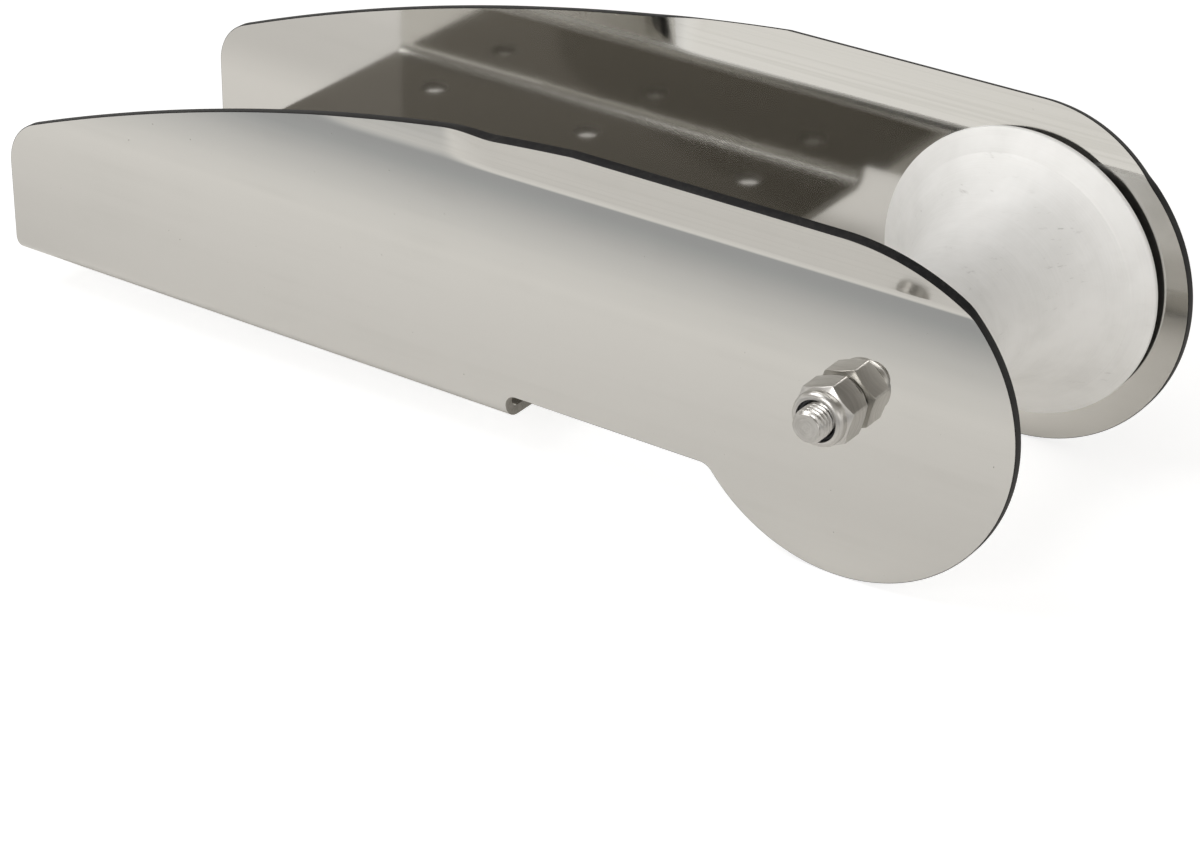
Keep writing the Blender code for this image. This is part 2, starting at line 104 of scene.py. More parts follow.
class Wire:
    """A number in a node tree, on which arithmetic adds Math nodes."""

    def __init__(self, tree: "Tree", socket: bpy.types.NodeSocket) -> None:
        """Keep the tree and the socket that carries the number."""
        self.tree = tree
        self.socket = socket

    def __add__(self, other: "Wire | float") -> "Wire":
        """Return the sum."""
        return self.tree.math("ADD", self, other)

    __radd__ = __add__

    def __sub__(self, other: "Wire | float") -> "Wire":
        """Return the difference."""
        return self.tree.math("SUBTRACT", self, other)

    def __rsub__(self, other: float) -> "Wire":
        """Return a number minus this one."""
        return self.tree.math("SUBTRACT", other, self)

    def __mul__(self, other: "Wire | float") -> "Wire":
        """Return the product."""
        return self.tree.math("MULTIPLY", self, other)

    __rmul__ = __mul__

    def unsigned(self) -> "Wire":
        """Return this number without its sign."""
        return self.tree.node("ShaderNodeMath", {"operation": "ABSOLUTE"}, {0: self})

    def between(self, low: float, high: float, smooth: bool = True) -> "Wire":
        """Return a ramp of this number.

        Args:
            low: the value up to which the ramp gives 0.
            high: the value from which it gives 1; it may lie below the other.
            smooth: whether the ramp is a smooth step, and not straight.

        Returns:
            This number's share of the way from low to high.
        """
        settings = {"interpolation_type": "SMOOTHSTEP" if smooth else "LINEAR"}
        values = {"Value": self, "From Min": low, "From Max": high}
        return self.tree.node("ShaderNodeMapRange", settings, values)


class Tree:
    """The node tree of a material or of the world."""

    def __init__(self, owner: bpy.types.Material | bpy.types.World, end: str) -> None:
        """Empty a tree and give it an output node.

        Args:
            owner: the material or the world whose tree it is.
            end: the output node's type.
        """
        owner.use_nodes = True
        self.owner = owner
        self.nodes = owner.node_tree.nodes
        self.links = owner.node_tree.links
        self.nodes.clear()
        self.end = self.nodes.new(end)

    @classmethod
    def of_material(cls, name: str) -> "Tree":
        """Return the tree of a new material."""
        return cls(bpy.data.materials.new(name), "ShaderNodeOutputMaterial")

    def node(
        self,
        kind: str,
        settings: dict[str, Any] | None = None,
        values: dict[str | int, Any] | None = None,
        output: str | int = 0,
    ) -> Wire:
        """Add one node.

        Args:
            kind: the node's Blender type.
            settings: its own settings, such as a Math node's operation; stops fills a colour ramp.
            values: what goes into its sockets, as numbers, colours or other nodes' results.
            output: the output that is handed back.

        Returns:
            The chosen output.
        """
        made = self.nodes.new(kind)
        for key, setting in (settings or {}).items():
            if key == "stops":
                self._fill_ramp(made.color_ramp, setting)
            else:
                setattr(made, key, setting)
        for key, value in (values or {}).items():
            if isinstance(value, Wire):
                self.links.new(value.socket, made.inputs[key])
            else:
                made.inputs[key].default_value = value
        return Wire(self, made.outputs[output])

    @staticmethod
    def _fill_ramp(ramp: bpy.types.ColorRamp, stops: Stops) -> None:
        """Give a colour ramp its stops."""
        while len(ramp.elements) < len(stops):
            ramp.elements.new(1.0)
        for element, (place, shade) in zip(ramp.elements, stops):
            element.position = place
            element.color = (*shade, 1.0)

    def math(self, operation: str, left: Wire | float, right: Wire | float) -> Wire:
        """Return the result of one Math node."""
        return self.node("ShaderNodeMath", {"operation": operation}, {0: left, 1: right})

    def vector_math(self, operation: str, left: Wire, right: Triple = EVENLY, output: int = 0) -> Wire:
        """Return the result of one Vector Math node, of which output 1 is a number."""
        return self.node("ShaderNodeVectorMath", {"operation": operation}, {0: left, 1: right}, output)

    def place(self) -> Wire:
        """Return the point's own place in the frame's axes."""
        return self.node("ShaderNodeTexCoord", output="Object")

    def stretched(self, scale: Triple, centre: Triple = (0.0, 0.0, 0.0)) -> Wire:
        """Return the point's place from a centre, stretched along each axis."""
        return self.vector_math("MULTIPLY", self.vector_math("SUBTRACT", self.place(), centre), scale)

    def axis(self, letter: str, vector: Wire | None = None) -> Wire:
        """Return one coordinate of a vector, or else of the point's own place."""
        return self.node("ShaderNodeSeparateXYZ", {}, {0: vector or self.place()}, letter)

    def noise(self, vector: Wire, scale: float = 1.0, detail: float = 3.0, roughness: float = 0.55) -> Wire:
        """Return soft noise between 0 and 1."""
        values = {"Vector": vector, "Scale": scale, "Detail": detail, "Roughness": roughness}
        return self.node("ShaderNodeTexNoise", {"noise_dimensions": "3D"}, values, "Fac")

    def blend(self, share: Wire | float, first: Wire | Triple, second: Wire | Triple) -> Wire:
        """Mix two colours.

        Args:
            share: how much of the second colour shows.
            first: the first colour.
            second: the second colour.

        Returns:
            The colour between them.
        """
        settings = {"data_type": "RGBA", "clamp_factor": True}
        start, end = (shade if isinstance(shade, Wire) else (*shade, 1.0) for shade in (first, second))
        return self.node("ShaderNodeMix", settings, {0: share, 6: start, 7: end}, 2)

    def bump(self, height: Wire, depth: float, strength: float, under: Wire | None = None) -> Wire:
        """Roughen the surface by its normals.

        Args:
            height: the relief, between 0 and 1.
            depth: how deep that relief is.
            strength: how much of it shows.
            under: normals that are roughened already.

        Returns:
            The roughened normals.
        """
        values: dict[str | int, Any] = {"Height": height, "Distance": depth, "Strength": strength}
        if under is not None:
            values["Normal"] = under
        return self.node("ShaderNodeBump", {}, values)

    def finish(self, shader: Wire) -> Any:
        """Join the last shader to the output and return the tree's owner."""
        self.links.new(shader.socket, self.end.inputs["Surface"])
        return self.owner

    def surface(self, **sockets: Any) -> bpy.types.Material:
        """Finish the material with a Principled shader.

        Args:
            sockets: the shader's inputs, named in words joined by underscores.

        Returns:
            The material.
        """
        values: dict[str | int, Any] = {}
        for name, value in sockets.items():
            values[name.replace("_", " ").title().replace("Ior", "IOR")] = value
        return self.finish(self.node("ShaderNodeBsdfPrincipled", {}, values))


@dataclass(frozen=True)
class PolishedSheet:
    """Mirror-polished stainless sheet: faint streaks, a brushed flare whose colour is darkened by painted
    shade, softer inside faces, waviness.
    """

    name: str = "polished_sheet"
    bright: Triple = (0.712, 0.704, 0.680)
    dull: Triple = (0.662, 0.654, 0.628)
    speck_tone: Triple = (0.30, 0.28, 0.25)
    streak_scale: Triple = (6.0, 900.0, 900.0)
    broad_scale: Triple = (3.5, 150.0, 150.0)
    speck_scale: Triple = (900.0, 900.0, 900.0)
    cloud_size: float = 26.0
    streak_range: Pair = (0.45, 0.75)
    broad_range: Pair = (0.42, 0.72)
    patch_range: Pair = (0.46, 0.68)
    speck_range: Pair = (0.815, 0.84)
    brushed_range: Pair = (0.0798, 0.0810)
    inside_range: Pair = (0.0506, 0.0503)
    fold_start: Pair = (0.0765, 0.0785)
    fold_end: Pair = (0.0835, 0.0812)
    faint_least: float = 0.3
    faint_wear: float = 0.55
    streak_on_brushed: float = 0.95
    streak_on_patch: float = 0.12
    brushed_shade: float = 0.35
    speck_share: float = 0.6
    roughness: float = 0.018
    wear_roughness: float = 0.035
    brushed_roughness: float = 0.060
    inside_roughness: float = 0.045
    fold_roughness: float = 0.16
    speck_roughness: float = 0.3
    wave_size: float = 22.0
    wave_depth: float = 0.00035
    wave_strength: float = 0.07
    streak_depth: float = 0.000004
    streak_strength: float = 0.12

    def make(self) -> bpy.types.Material:
        """Return the material."""
        tree = Tree.of_material(self.name)
        streak = tree.noise(tree.stretched(self.streak_scale), detail=4.0, roughness=0.6)
        broad = tree.noise(tree.stretched(self.broad_scale), detail=2.0)
        cloud = tree.noise(tree.place(), self.cloud_size)
        height = tree.axis("Z")
        brushed = height.between(*self.brushed_range)
        inside = tree.axis("Y").unsigned().between(*self.inside_range)
        folded = height.between(*self.fold_start) * height.between(*self.fold_end) * inside
        patch = cloud.between(*self.patch_range)
        faint = broad.between(*self.broad_range) * (patch * (1.0 - self.faint_least) + self.faint_least)
        shown = brushed * self.streak_on_brushed + patch * self.streak_on_patch
        streaked = streak.between(*self.streak_range) * shown
        # painted shade: brushed_shade darkens the flare strip's colour beyond its streaks and random wear
        wear_and_shade = faint * self.faint_wear + streaked + brushed * self.brushed_shade
        base = tree.blend(wear_and_shade, self.bright, self.dull)
        speck = tree.noise(tree.stretched(self.speck_scale), detail=1.0).between(*self.speck_range)
        marked = tree.blend(speck * self.speck_share, base, self.speck_tone)
        rough = wear_and_shade * self.wear_roughness + brushed * self.brushed_roughness
        rough = rough + inside * self.inside_roughness + folded * self.fold_roughness
        rough = rough + speck * self.speck_roughness + self.roughness
        wave = tree.noise(tree.place(), self.wave_size, 1.5)
        waved = tree.bump(wave, self.wave_depth, self.wave_strength)
        fine = tree.bump(streak, self.streak_depth, self.streak_strength, waved)
        return tree.surface(base_color=marked, metallic=1.0, roughness=rough, normal=fine)


@dataclass(frozen=True)
class CutEdge:
    """Cut edge of the sheet, coloured near-black as a painted dark reflection, with fine marks, and a
    lighter tone along the cheeks' lower edge by the base.
    """

    name: str = "cut_edge"
    dark: Triple = (0.010, 0.010, 0.011)
    light: Triple = (0.030, 0.029, 0.028)
    low_edge_tone: Triple = (0.30, 0.285, 0.255)
    sheen: float = 0.22
    mark_size: float = 900.0
    cloud_size: float = 80.0
    mark_share: float = 0.6
    worn_range: Pair = (0.42, 0.72)
    low_edge_below: Pair = (0.0125, 0.0105)
    low_edge_behind: Pair = (0.120, 0.112)
    low_edge_share: float = 0.95
    low_edge_marked_off: float = 0.45
    roughness: float = 0.42
    mark_roughness: float = 0.20
    mark_depth: float = 0.00004
    mark_strength: float = 0.4

    def make(self) -> bpy.types.Material:
        """Return the material."""
        tree = Tree.of_material(self.name)
        marks = tree.noise(tree.place(), self.mark_size, 4.0, 0.65)
        cloud = tree.noise(tree.place(), self.cloud_size, 2.0)
        worn = (marks * self.mark_share + cloud * (1.0 - self.mark_share)).between(*self.worn_range)
        low_edge_mask = tree.axis("Z").between(*self.low_edge_below) * tree.axis("X").between(*self.low_edge_behind)
        # painted reflection: the polished cut edge is coloured near-black in place of the dark surroundings
        # it would reflect, and is lighter low down by the base
        painted_edge_reflection = tree.blend(worn, self.dark, self.light)
        base = tree.blend(low_edge_mask * (self.low_edge_share - worn * self.low_edge_marked_off), painted_edge_reflection, self.low_edge_tone)
        return tree.surface(
            base_color=base,
            metallic=0.0,
            specular_ior_level=self.sheen,
            roughness=marks * self.mark_roughness + self.roughness,
            normal=tree.bump(marks, self.mark_depth, self.mark_strength),
        )


@dataclass(frozen=True)
class TurnedMetal:
    """Metal turned about the axle: fine rings round it, soft clouding, light scuffs, and painted shade that
    darkens the ends past a set station along the axle.
    """

    name: str
    light: Triple
    dark: Triple
    roughness: float
    ring_count: float
    ring_depth: float
    ring_share: float
    scuff: float
    metallic: float = 1.0
    # painted shade on the ends: these fields set where along the axle the colour turns near-black, and how
    # far
    end_shade_from: float = 1.0
    end_shade_fade: float = 0.0002
    end_shade_share: float = 0.94
    ends: Triple = (0.030, 0.029, 0.028)
    mark: Triple = (0.40, 0.39, 0.37)
    mark_share: float = 0.30
    ring_slant: float = 0.7
    ring_wander: float = 0.9
    cloud_size: float = 42.0
    tone_range: Pair = (0.36, 0.66)
    scratch_scale: Triple = (150.0, 420.0, 1500.0)
    scratch_axis: Triple = (0.3, 0.9, 0.2)
    scratch_turn: float = 0.7
    scratch_size: float = 0.55
    scratch_range: Pair = (0.60, 0.74)
    scratched_range: Pair = (0.46, 0.66)
    uneven_roughness: float = 0.10
    scratch_roughness: float = 0.16
    ring_strength: float = 0.35
    scratch_depth: float = 0.00003
    scratch_strength: float = 0.3

    def make(self, axle: Vector) -> bpy.types.Material:
        """Return the material.

        Args:
            axle: a point on the axle line, round which the rings run.

        Returns:
            The material, whose rings follow the distance from the axle and the place along it.
        """
        tree = Tree.of_material(self.name)
        centred = tree.stretched(EVENLY, tuple(axle))
        flat = tree.stretched((1.0, 0.0, 1.0), tuple(axle))
        radius = tree.vector_math("LENGTH", flat, output=1)
        heading = tree.vector_math("NORMALIZE", flat)
        along = tree.axis("Y", centred)
        rings_at = {
            0: radius * self.ring_count + along * (self.ring_count * self.ring_slant),
            1: tree.axis("X", heading) * self.ring_wander,
            2: tree.axis("Z", heading) * self.ring_wander,
        }
        rings = tree.noise(tree.node("ShaderNodeCombineXYZ", {}, rings_at), 1.0, 2.0, 0.5)
        cloud = tree.noise(centred, self.cloud_size, 4.0, 0.6)
        scratches_at = tree.vector_math("MULTIPLY", centred, self.scratch_scale)
        tilt = {0: scratches_at, "Axis": self.scratch_axis, "Angle": self.scratch_turn}
        tilted = tree.node("ShaderNodeVectorRotate", {"rotation_type": "AXIS_ANGLE"}, tilt)
        lines = tree.noise(tilted, self.scratch_size, 3.0, 0.7).between(*self.scratch_range)
        scratch = lines * cloud.between(*self.scratched_range)
        mixed = cloud * (1.0 - self.ring_share) + rings * self.ring_share
        turned = tree.blend(mixed.between(*self.tone_range), self.light, self.dark)
        scuffed = tree.blend(scratch * (self.mark_share * self.scuff), turned, self.mark)
        # painted shade: past end_shade_from the colour turns near-black, standing in for the shade in the
        # gap between the roller's ends and the cheeks
        past = along.unsigned().between(self.end_shade_from, self.end_shade_from + self.end_shade_fade)
        base = tree.blend(past * self.end_shade_share, scuffed, self.ends)
        rough = rings * self.uneven_roughness + cloud * self.uneven_roughness
        rough = rough + scratch * (self.scratch_roughness * self.scuff)
        rough = rough + (self.roughness - self.uneven_roughness)
        ringed = tree.bump(rings, self.ring_depth, self.ring_strength)
        worn = tree.bump(scratch, self.scratch_depth, self.scratch_strength * self.scuff, ringed)
        return tree.surface(base_color=base, metallic=self.metallic, roughness=rough, normal=worn)


@dataclass(frozen=True)
class MouldedPlastic:
    """Plain plastic with a fine grain and a slightly uneven colour."""

    name: str
    light: Triple
    dark: Triple
    roughness: float = 0.5
    grain_size: float = 1400.0
    cloud_size: float = 120.0
    cloud_range: Pair = (0.35, 0.70)
    grain_roughness: float = 0.16
    grain_depth: float = 0.00002
    grain_strength: float = 0.35

    def make(self) -> bpy.types.Material:
        """Return the material."""
        tree = Tree.of_material(self.name)
        grain = tree.noise(tree.place(), self.grain_size)
        cloud = tree.noise(tree.place(), self.cloud_size, 2.0)
        return tree.surface(
            base_color=tree.blend(cloud.between(*self.cloud_range), self.light, self.dark),
            metallic=0.0,
            roughness=grain * self.grain_roughness + (self.roughness - self.grain_roughness / 2),
            normal=tree.bump(grain, self.grain_depth, self.grain_strength),
        )


def spread(start: float, end: float, steps: int) -> np.ndarray:
    """Return evenly spaced values, both ends included."""
    return np.linspace(start, end, steps + 1)


def apart(values: list[np.ndarray]) -> np.ndarray:
    """Join lists of values.

    Args:
        values: the lists.

    Returns:
        The values in rising order, with those that nearly coincide taken once.
    """
    line = np.sort(np.concatenate(values))
    keep = np.concatenate(([True], np.diff(line) > 2.0 * MERGE_DISTANCE))
    return line[keep]


def grid_quads(rows: int, columns: int, row_loop: bool = False, column_loop: bool = False) -> np.ndarray:
    """Return the four-sided faces of a grid of points.

    Args:
        rows: points along the first parameter.
        columns: points along the second parameter.
        row_loop: whether the last row joins the first.
        column_loop: whether the last column joins the first.

    Returns:
        An array of faces, four point numbers each, for points kept row by row.
    """
    first = np.arange(rows if row_loop else rows - 1)
    second = np.arange(columns if column_loop else columns - 1)
    row, column = np.meshgrid(first, second, indexing="ij")
    next_row = (row + 1) % rows
    next_column = (column + 1) % columns
    corners = (
        row * columns + column,
        row * columns + next_column,
        next_row * columns + next_column,
        next_row * columns + column,
    )
    return np.stack(corners, axis=-1).reshape(-1, 4)


@dataclass
class Shell:
    """Point and face arrays that are gathered into one closed mesh."""

    points: list[np.ndarray] = field(default_factory=list)
    faces: list[np.ndarray] = field(default_factory=list)
    finishes: list[np.ndarray] = field(default_factory=list)
    count: int = 0

    def add(self, points: np.ndarray, faces: np.ndarray, finish: int = 0) -> None:
        """Add a patch.

        Args:
            points: its points, three numbers each in the last axis.
            faces: its faces, which count its points from zero.
            finish: the number of the material on it.
        """
        flat = points.reshape(-1, 3)
        self.points.append(flat)
        self.faces.append(faces + self.count)
        self.finishes.append(np.full(len(faces), finish, dtype=np.int32))
        self.count += len(flat)

    def mesh(self, name: str) -> bpy.types.Mesh:
        """Join the patches.

        Args:
            name: the mesh's name.

        Returns:
            One mesh, merged, closed and facing outwards.
        """
        made = bpy.data.meshes.new(name)
        faces = np.concatenate(self.faces)
        made.from_pydata(np.concatenate(self.points), [], faces.tolist())
        made.polygons.foreach_set("material_index", np.concatenate(self.finishes))
        work = bmesh.new()
        work.from_mesh(made)
        bmesh.ops.remove_doubles(work, verts=work.verts[:], dist=MERGE_DISTANCE)
        bmesh.ops.dissolve_degenerate(work, edges=work.edges[:], dist=MERGE_DISTANCE)
        bmesh.ops.recalc_face_normals(work, faces=work.faces[:])
        work.to_mesh(made)
        work.free()
        return made


def whole_numbers(items: Any, name: str) -> np.ndarray:
    """Read one whole number of every item in a mesh's collection.

    Args:
        items: the collection, such as the mesh's edges.
        name: what the number is called there.

    Returns:
        The numbers, in the items' order.
    """
    values = np.empty(len(items), dtype=np.int32)
    items.foreach_get(name, values)
    return values


def mark_sharp(mesh: bpy.types.Mesh) -> None:
    """Shade a mesh smooth, and sharp where it turns sharply or its finish changes.

    Args:
        mesh: the mesh, which is changed.
    """
    mesh.shade_smooth()
    mesh.set_sharp_from_angle(angle=SHARP_ANGLE)
    edges = len(mesh.edges)
    edge_of_loop = whole_numbers(mesh.loops, "edge_index")
    finish = whole_numbers(mesh.polygons, "material_index")
    finish_of_loop = np.repeat(finish, whole_numbers(mesh.polygons, "loop_total"))
    lowest = np.full(edges, finish.max())
    highest = np.full(edges, finish.min())
    np.minimum.at(lowest, edge_of_loop, finish_of_loop)
    np.maximum.at(highest, edge_of_loop, finish_of_loop)
    mark = mesh.attributes.get("sharp_edge") or mesh.attributes.new("sharp_edge", "BOOLEAN", "EDGE")
    sharp = np.zeros(edges, dtype=bool)
    mark.data.foreach_get("value", sharp)
    mark.data.foreach_set("value", sharp | (lowest != highest))
    mesh.update()


def link(item: bpy.types.Object) -> None:
    """Put an object in the scene."""
    bpy.context.scene.collection.objects.link(item)


def put_in(
    mesh: bpy.types.Mesh,
    finishes: list[bpy.types.Material],
    body: Body,
    nodes: list[str],
) -> None:
    """Put a finished mesh in the scene as a piece of the object.

    Args:
        mesh: the finished mesh, in the frame's own place.
        finishes: its materials, in the order that its faces number them, for a mesh that has none.
        body: the body that it rides on.
        nodes: the frame's nodes that it stands for.
    """
    mark_sharp(mesh)
    if not mesh.materials:
        for finish in finishes:
            mesh.materials.append(finish)
    piece = bpy.data.objects.new(mesh.name, mesh)
    link(piece)
    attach(piece, body.value)
    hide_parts(*nodes)
    LOG.info("%s: %d faces on %s", mesh.name, len(mesh.polygons), body.value)


def softened(corners: np.ndarray, reach: float, steps: int, loop: bool = True) -> np.ndarray:
    """Round the corners of a profile.

    Each corner becomes a short curve from a point on the side before it to a point on the side
    after it: (1 - t)^2 times the first, 2t(1 - t) times the corner and t^2 times the second.

    Args:
        corners: profile points along the first axis, with radius and station in the last.
        reach: how far along each side the rounding starts, at most a third of that side.
        steps: the number of parts in each rounding.
        loop: whether the profile closes on itself; its two ends stay as they are if not.

    Returns:
        The rounded profile, with as many more points along the first axis.
    """
    before = np.roll(corners, 1, axis=0)
    after = np.roll(corners, -1, axis=0)
    back = before - corners
    ahead = after - corners
    back_length = np.maximum(np.linalg.norm(back, axis=-1, keepdims=True), SHORTEST_SIDE)
    ahead_length = np.maximum(np.linalg.norm(ahead, axis=-1, keepdims=True), SHORTEST_SIDE)
    entry = corners + back / back_length * np.minimum(reach, back_length / 3.0)
    leave = corners + ahead / ahead_length * np.minimum(reach, ahead_length / 3.0)
    if not loop:
        entry[0] = leave[0] = corners[0]
        entry[-1] = leave[-1] = corners[-1]
    share = spread(0.0, 1.0, steps).reshape(-1, *([1] * corners.ndim))
    curve = (1 - share) ** 2 * entry + 2 * share * (1 - share) * corners + share**2 * leave
    return np.swapaxes(curve, 0, 1).reshape(-1, *corners.shape[1:])


@dataclass
class AxleLine:
    """The line that the turned pieces share, read from the frame's joint."""

    x: float
    z: float

    def revolve(self, profile: np.ndarray, steps: int, loop: bool = True) -> tuple[np.ndarray, np.ndarray]:
        """Carry a profile round the axle.

        A point at radius r, station y and angle a lies at (x + r cos a, y, z + r sin a).

        Args:
            profile: radius and station in the last axis, and if there are three axes, one profile
                for each angle in the middle one.
            steps: the number of angles.
            loop: whether the profile closes on itself.

        Returns:
            The points and the faces of the surface.
        """
        angle = np.arange(steps) * TURN / steps
        if profile.ndim == 2:
            profile = np.repeat(profile[:, None, :], steps, axis=1)
        radius = profile[..., 0]
        x = self.x + radius * np.cos(angle)
        z = self.z + radius * np.sin(angle)
        points = np.stack([x, profile[..., 1], z], axis=-1)
        return points, grid_quads(len(profile), steps, row_loop=loop, column_loop=True)

    def turn(self, name: str, profile: np.ndarray, steps: int, loop: bool = True) -> bpy.types.Mesh:
        """Turn a closed mesh.

        Args:
            name: the mesh's name.
            profile: its profile, as revolve takes it.
            steps: the number of angles.
            loop: whether the profile closes on itself.

        Returns:
            The mesh.
        """
        shell = Shell()
        shell.add(*self.revolve(profile, steps, loop))
        return shell.mesh(name)


@dataclass
class Channel:
    """The folded sheet: base, bends, cheeks, flared top edges and rounded noses."""

    axle: AxleLine
    sheet: float = 0.003
    inner_width: float = 0.100
    base_length: float = 0.194
    base_bend_inside: float = 0.003
    cheek_lift: float = 0.0087
    notch_radius: float = 0.0033
    nose_fillet: float = 0.005
    rear_height: float = 0.0432
    rear_corner_radius: float = 0.0164
    top_arc_radius: float = 0.82
    nose_radius: float = 0.05366
    nose_drop: float = 0.001
    top_line_reach: float = 0.087
    flare_depth: float = 0.0165
    flare_angle: float = math.radians(19.2)
    flare_bend_inside: float = 0.0075
    flare_lead: float = 0.049
    flare_fade: float = 0.022
    lead_in_start: float = 0.055
    lead_in_length: float = 0.025
    lead_in_share: float = 0.2
    deck_hole_radius: float = 0.0045
    deck_hole_rows: int = 3
    deck_hole_end_margin: float = 0.031
    deck_hole_side_margin: float = 0.018
    axle_hole_radius: float = 0.0053
    edge_round: float = 0.00022
    hole_chamfer: float = 0.0003
    hole_steps: int = 64
    line_easing: float = 0.0012
    least_turn: float = 1e-6

    def __post_init__(self) -> None:
        """Work out the places that follow from the sizes."""
        self.rear_x = -self.base_length / 2
        self.front_x = self.base_length / 2
        self.nose_x = self.axle.x
        self.top_line_x = self.axle.x - self.top_line_reach
        self.flare_start_x = self.top_line_x - self.flare_lead
        self.bend_middle = self.base_bend_inside + self.sheet / 2
        self.flat_half = self.inner_width / 2 - self.base_bend_inside
        self.wall_start_height = self.sheet + self.base_bend_inside
        self.wall_start = self.flat_half + self.bend_middle * math.pi / 2
        nose_height = self.axle.z - self.nose_drop
        self.nose_across = self.across_at(nose_height)
        self.flare_height = nose_height + self.nose_radius - self.flare_depth
        self.flare_bend = (self.flare_bend_inside + self.sheet / 2) * self.flare_angle
        self.lower = self.across_at(self.cheek_lift)
        self._place_fillet()
        self._place_top_arc()

    @staticmethod
    def eased(share: np.ndarray) -> np.ndarray:
        """Return shares of the way as a smooth step: 3s^2 - 2s^3 between 0 and 1."""
        held = np.clip(share, 0.0, 1.0)
        return held**2 * (3.0 - 2.0 * held)

    def across_at(self, height: float) -> float:
        """Return the flat sheet's distance from its centre line at a height up the cheek."""
        return self.wall_start + height - self.wall_start_height

    def _place_fillet(self) -> None:
        """Find the fillet between the cheek's lower edge and the nose."""
        self.fillet_across = self.lower - self.nose_fillet
        rise = self.nose_across - self.fillet_across
        run = math.sqrt((self.nose_radius + self.nose_fillet) ** 2 - rise**2)
        self.fillet_x = self.nose_x - run
        self.fillet_turn = math.atan2(rise, run)

    def _place_top_arc(self) -> None:
        """Find the centres of the long top arc and of the rear corner that blends into it."""
        start = np.array([self.top_line_x, self.nose_across + self.nose_radius])
        chord = np.array([self.rear_x, self.across_at(self.rear_height)]) - start
        length = float(np.hypot(*chord))
        inward = np.array([-chord[1], chord[0]]) / length
        depth = math.sqrt(self.top_arc_radius**2 - (length / 2) ** 2)
        self.arc_centre = start + chord / 2 + inward * depth
        reach = self.top_arc_radius - self.rear_corner_radius
        corner_x = self.rear_x + self.rear_corner_radius
        corner_across = self.arc_centre[1] + math.sqrt(reach**2 - (corner_x - self.arc_centre[0]) ** 2)
        self.corner_centre = np.array([corner_x, corner_across])
        self.corner_turn = math.atan2(corner_across - self.arc_centre[1], corner_x - self.arc_centre[0])

    def upper_edge(self, x: np.ndarray, inset: float) -> tuple[np.ndarray, np.ndarray]:
        """Give the sheet's upper edge: rear corner, long arc, straight line and the nose's top.

        Args:
            x: places along the channel.
            inset: how far inside the true outline the edge runs.

        Returns:
            The distance from the centre line and the outward direction at each place.
        """
        corner, arc = self.corner_centre, self.arc_centre
        nose = np.array([self.nose_x, self.nose_across])
        corner_end = corner[0] + (self.rear_corner_radius - inset) * math.cos(self.corner_turn)
        circles = (
            (x < corner_end, corner, self.rear_corner_radius),
            (x < self.top_line_x, arc, self.top_arc_radius),
            (x >= self.nose_x, nose, self.nose_radius),
        )
        across = np.full_like(x, self.nose_across + self.nose_radius - inset)
        outward = np.stack([np.zeros_like(x), np.ones_like(x)], axis=-1)
        done = np.zeros(len(x), dtype=bool)
        for chosen, centre, radius in circles:
            here = chosen & ~done
            run = x[here] - centre[0]
            rise = np.sqrt(np.maximum((radius - inset) ** 2 - run**2, 0.0))
            across[here] = centre[1] + rise
            outward[here] = np.stack([run, rise], axis=-1) / (radius - inset)
            done |= here
        return across, outward

    def lower_edge(self, x: np.ndarray, inset: float) -> tuple[np.ndarray, np.ndarray]:
        """Give the cheek's lower edge ahead of the base: notch, straight line, fillet and the nose.

        Args:
            x: places ahead of the base's front edge.
            inset: how far inside the true outline the edge runs.

        Returns:
            The distance from the centre line and the outward direction at each place.
        """
        notch = np.array([self.front_x + self.notch_radius, self.lower - self.notch_radius])
        fillet = np.array([self.fillet_x, self.fillet_across])
        nose = np.array([self.nose_x, self.nose_across])
        touch_x = nose[0] - (self.nose_radius - inset) * math.cos(self.fillet_turn)
        across = np.full_like(x, self.lower + inset)
        outward = np.stack([np.zeros_like(x), -np.ones_like(x)], axis=-1)
        hollows = (
            (x < notch[0], notch, self.notch_radius),
            ((x > fillet[0]) & (x <= touch_x), fillet, self.nose_fillet),
        )
        for here, centre, radius in hollows:
            run = x[here] - centre[0]
            rise = np.sqrt(np.maximum((radius + inset) ** 2 - run**2, 0.0))
            across[here] = centre[1] + rise
            outward[here] = -np.stack([run, rise], axis=-1) / (radius + inset)
        here = x > touch_x
        run = x[here] - nose[0]
        drop = np.sqrt(np.maximum((self.nose_radius - inset) ** 2 - run**2, 0.0))
        across[here] = nose[1] - drop
        outward[here] = np.stack([run, -drop], axis=-1) / (self.nose_radius - inset)
        return across, outward

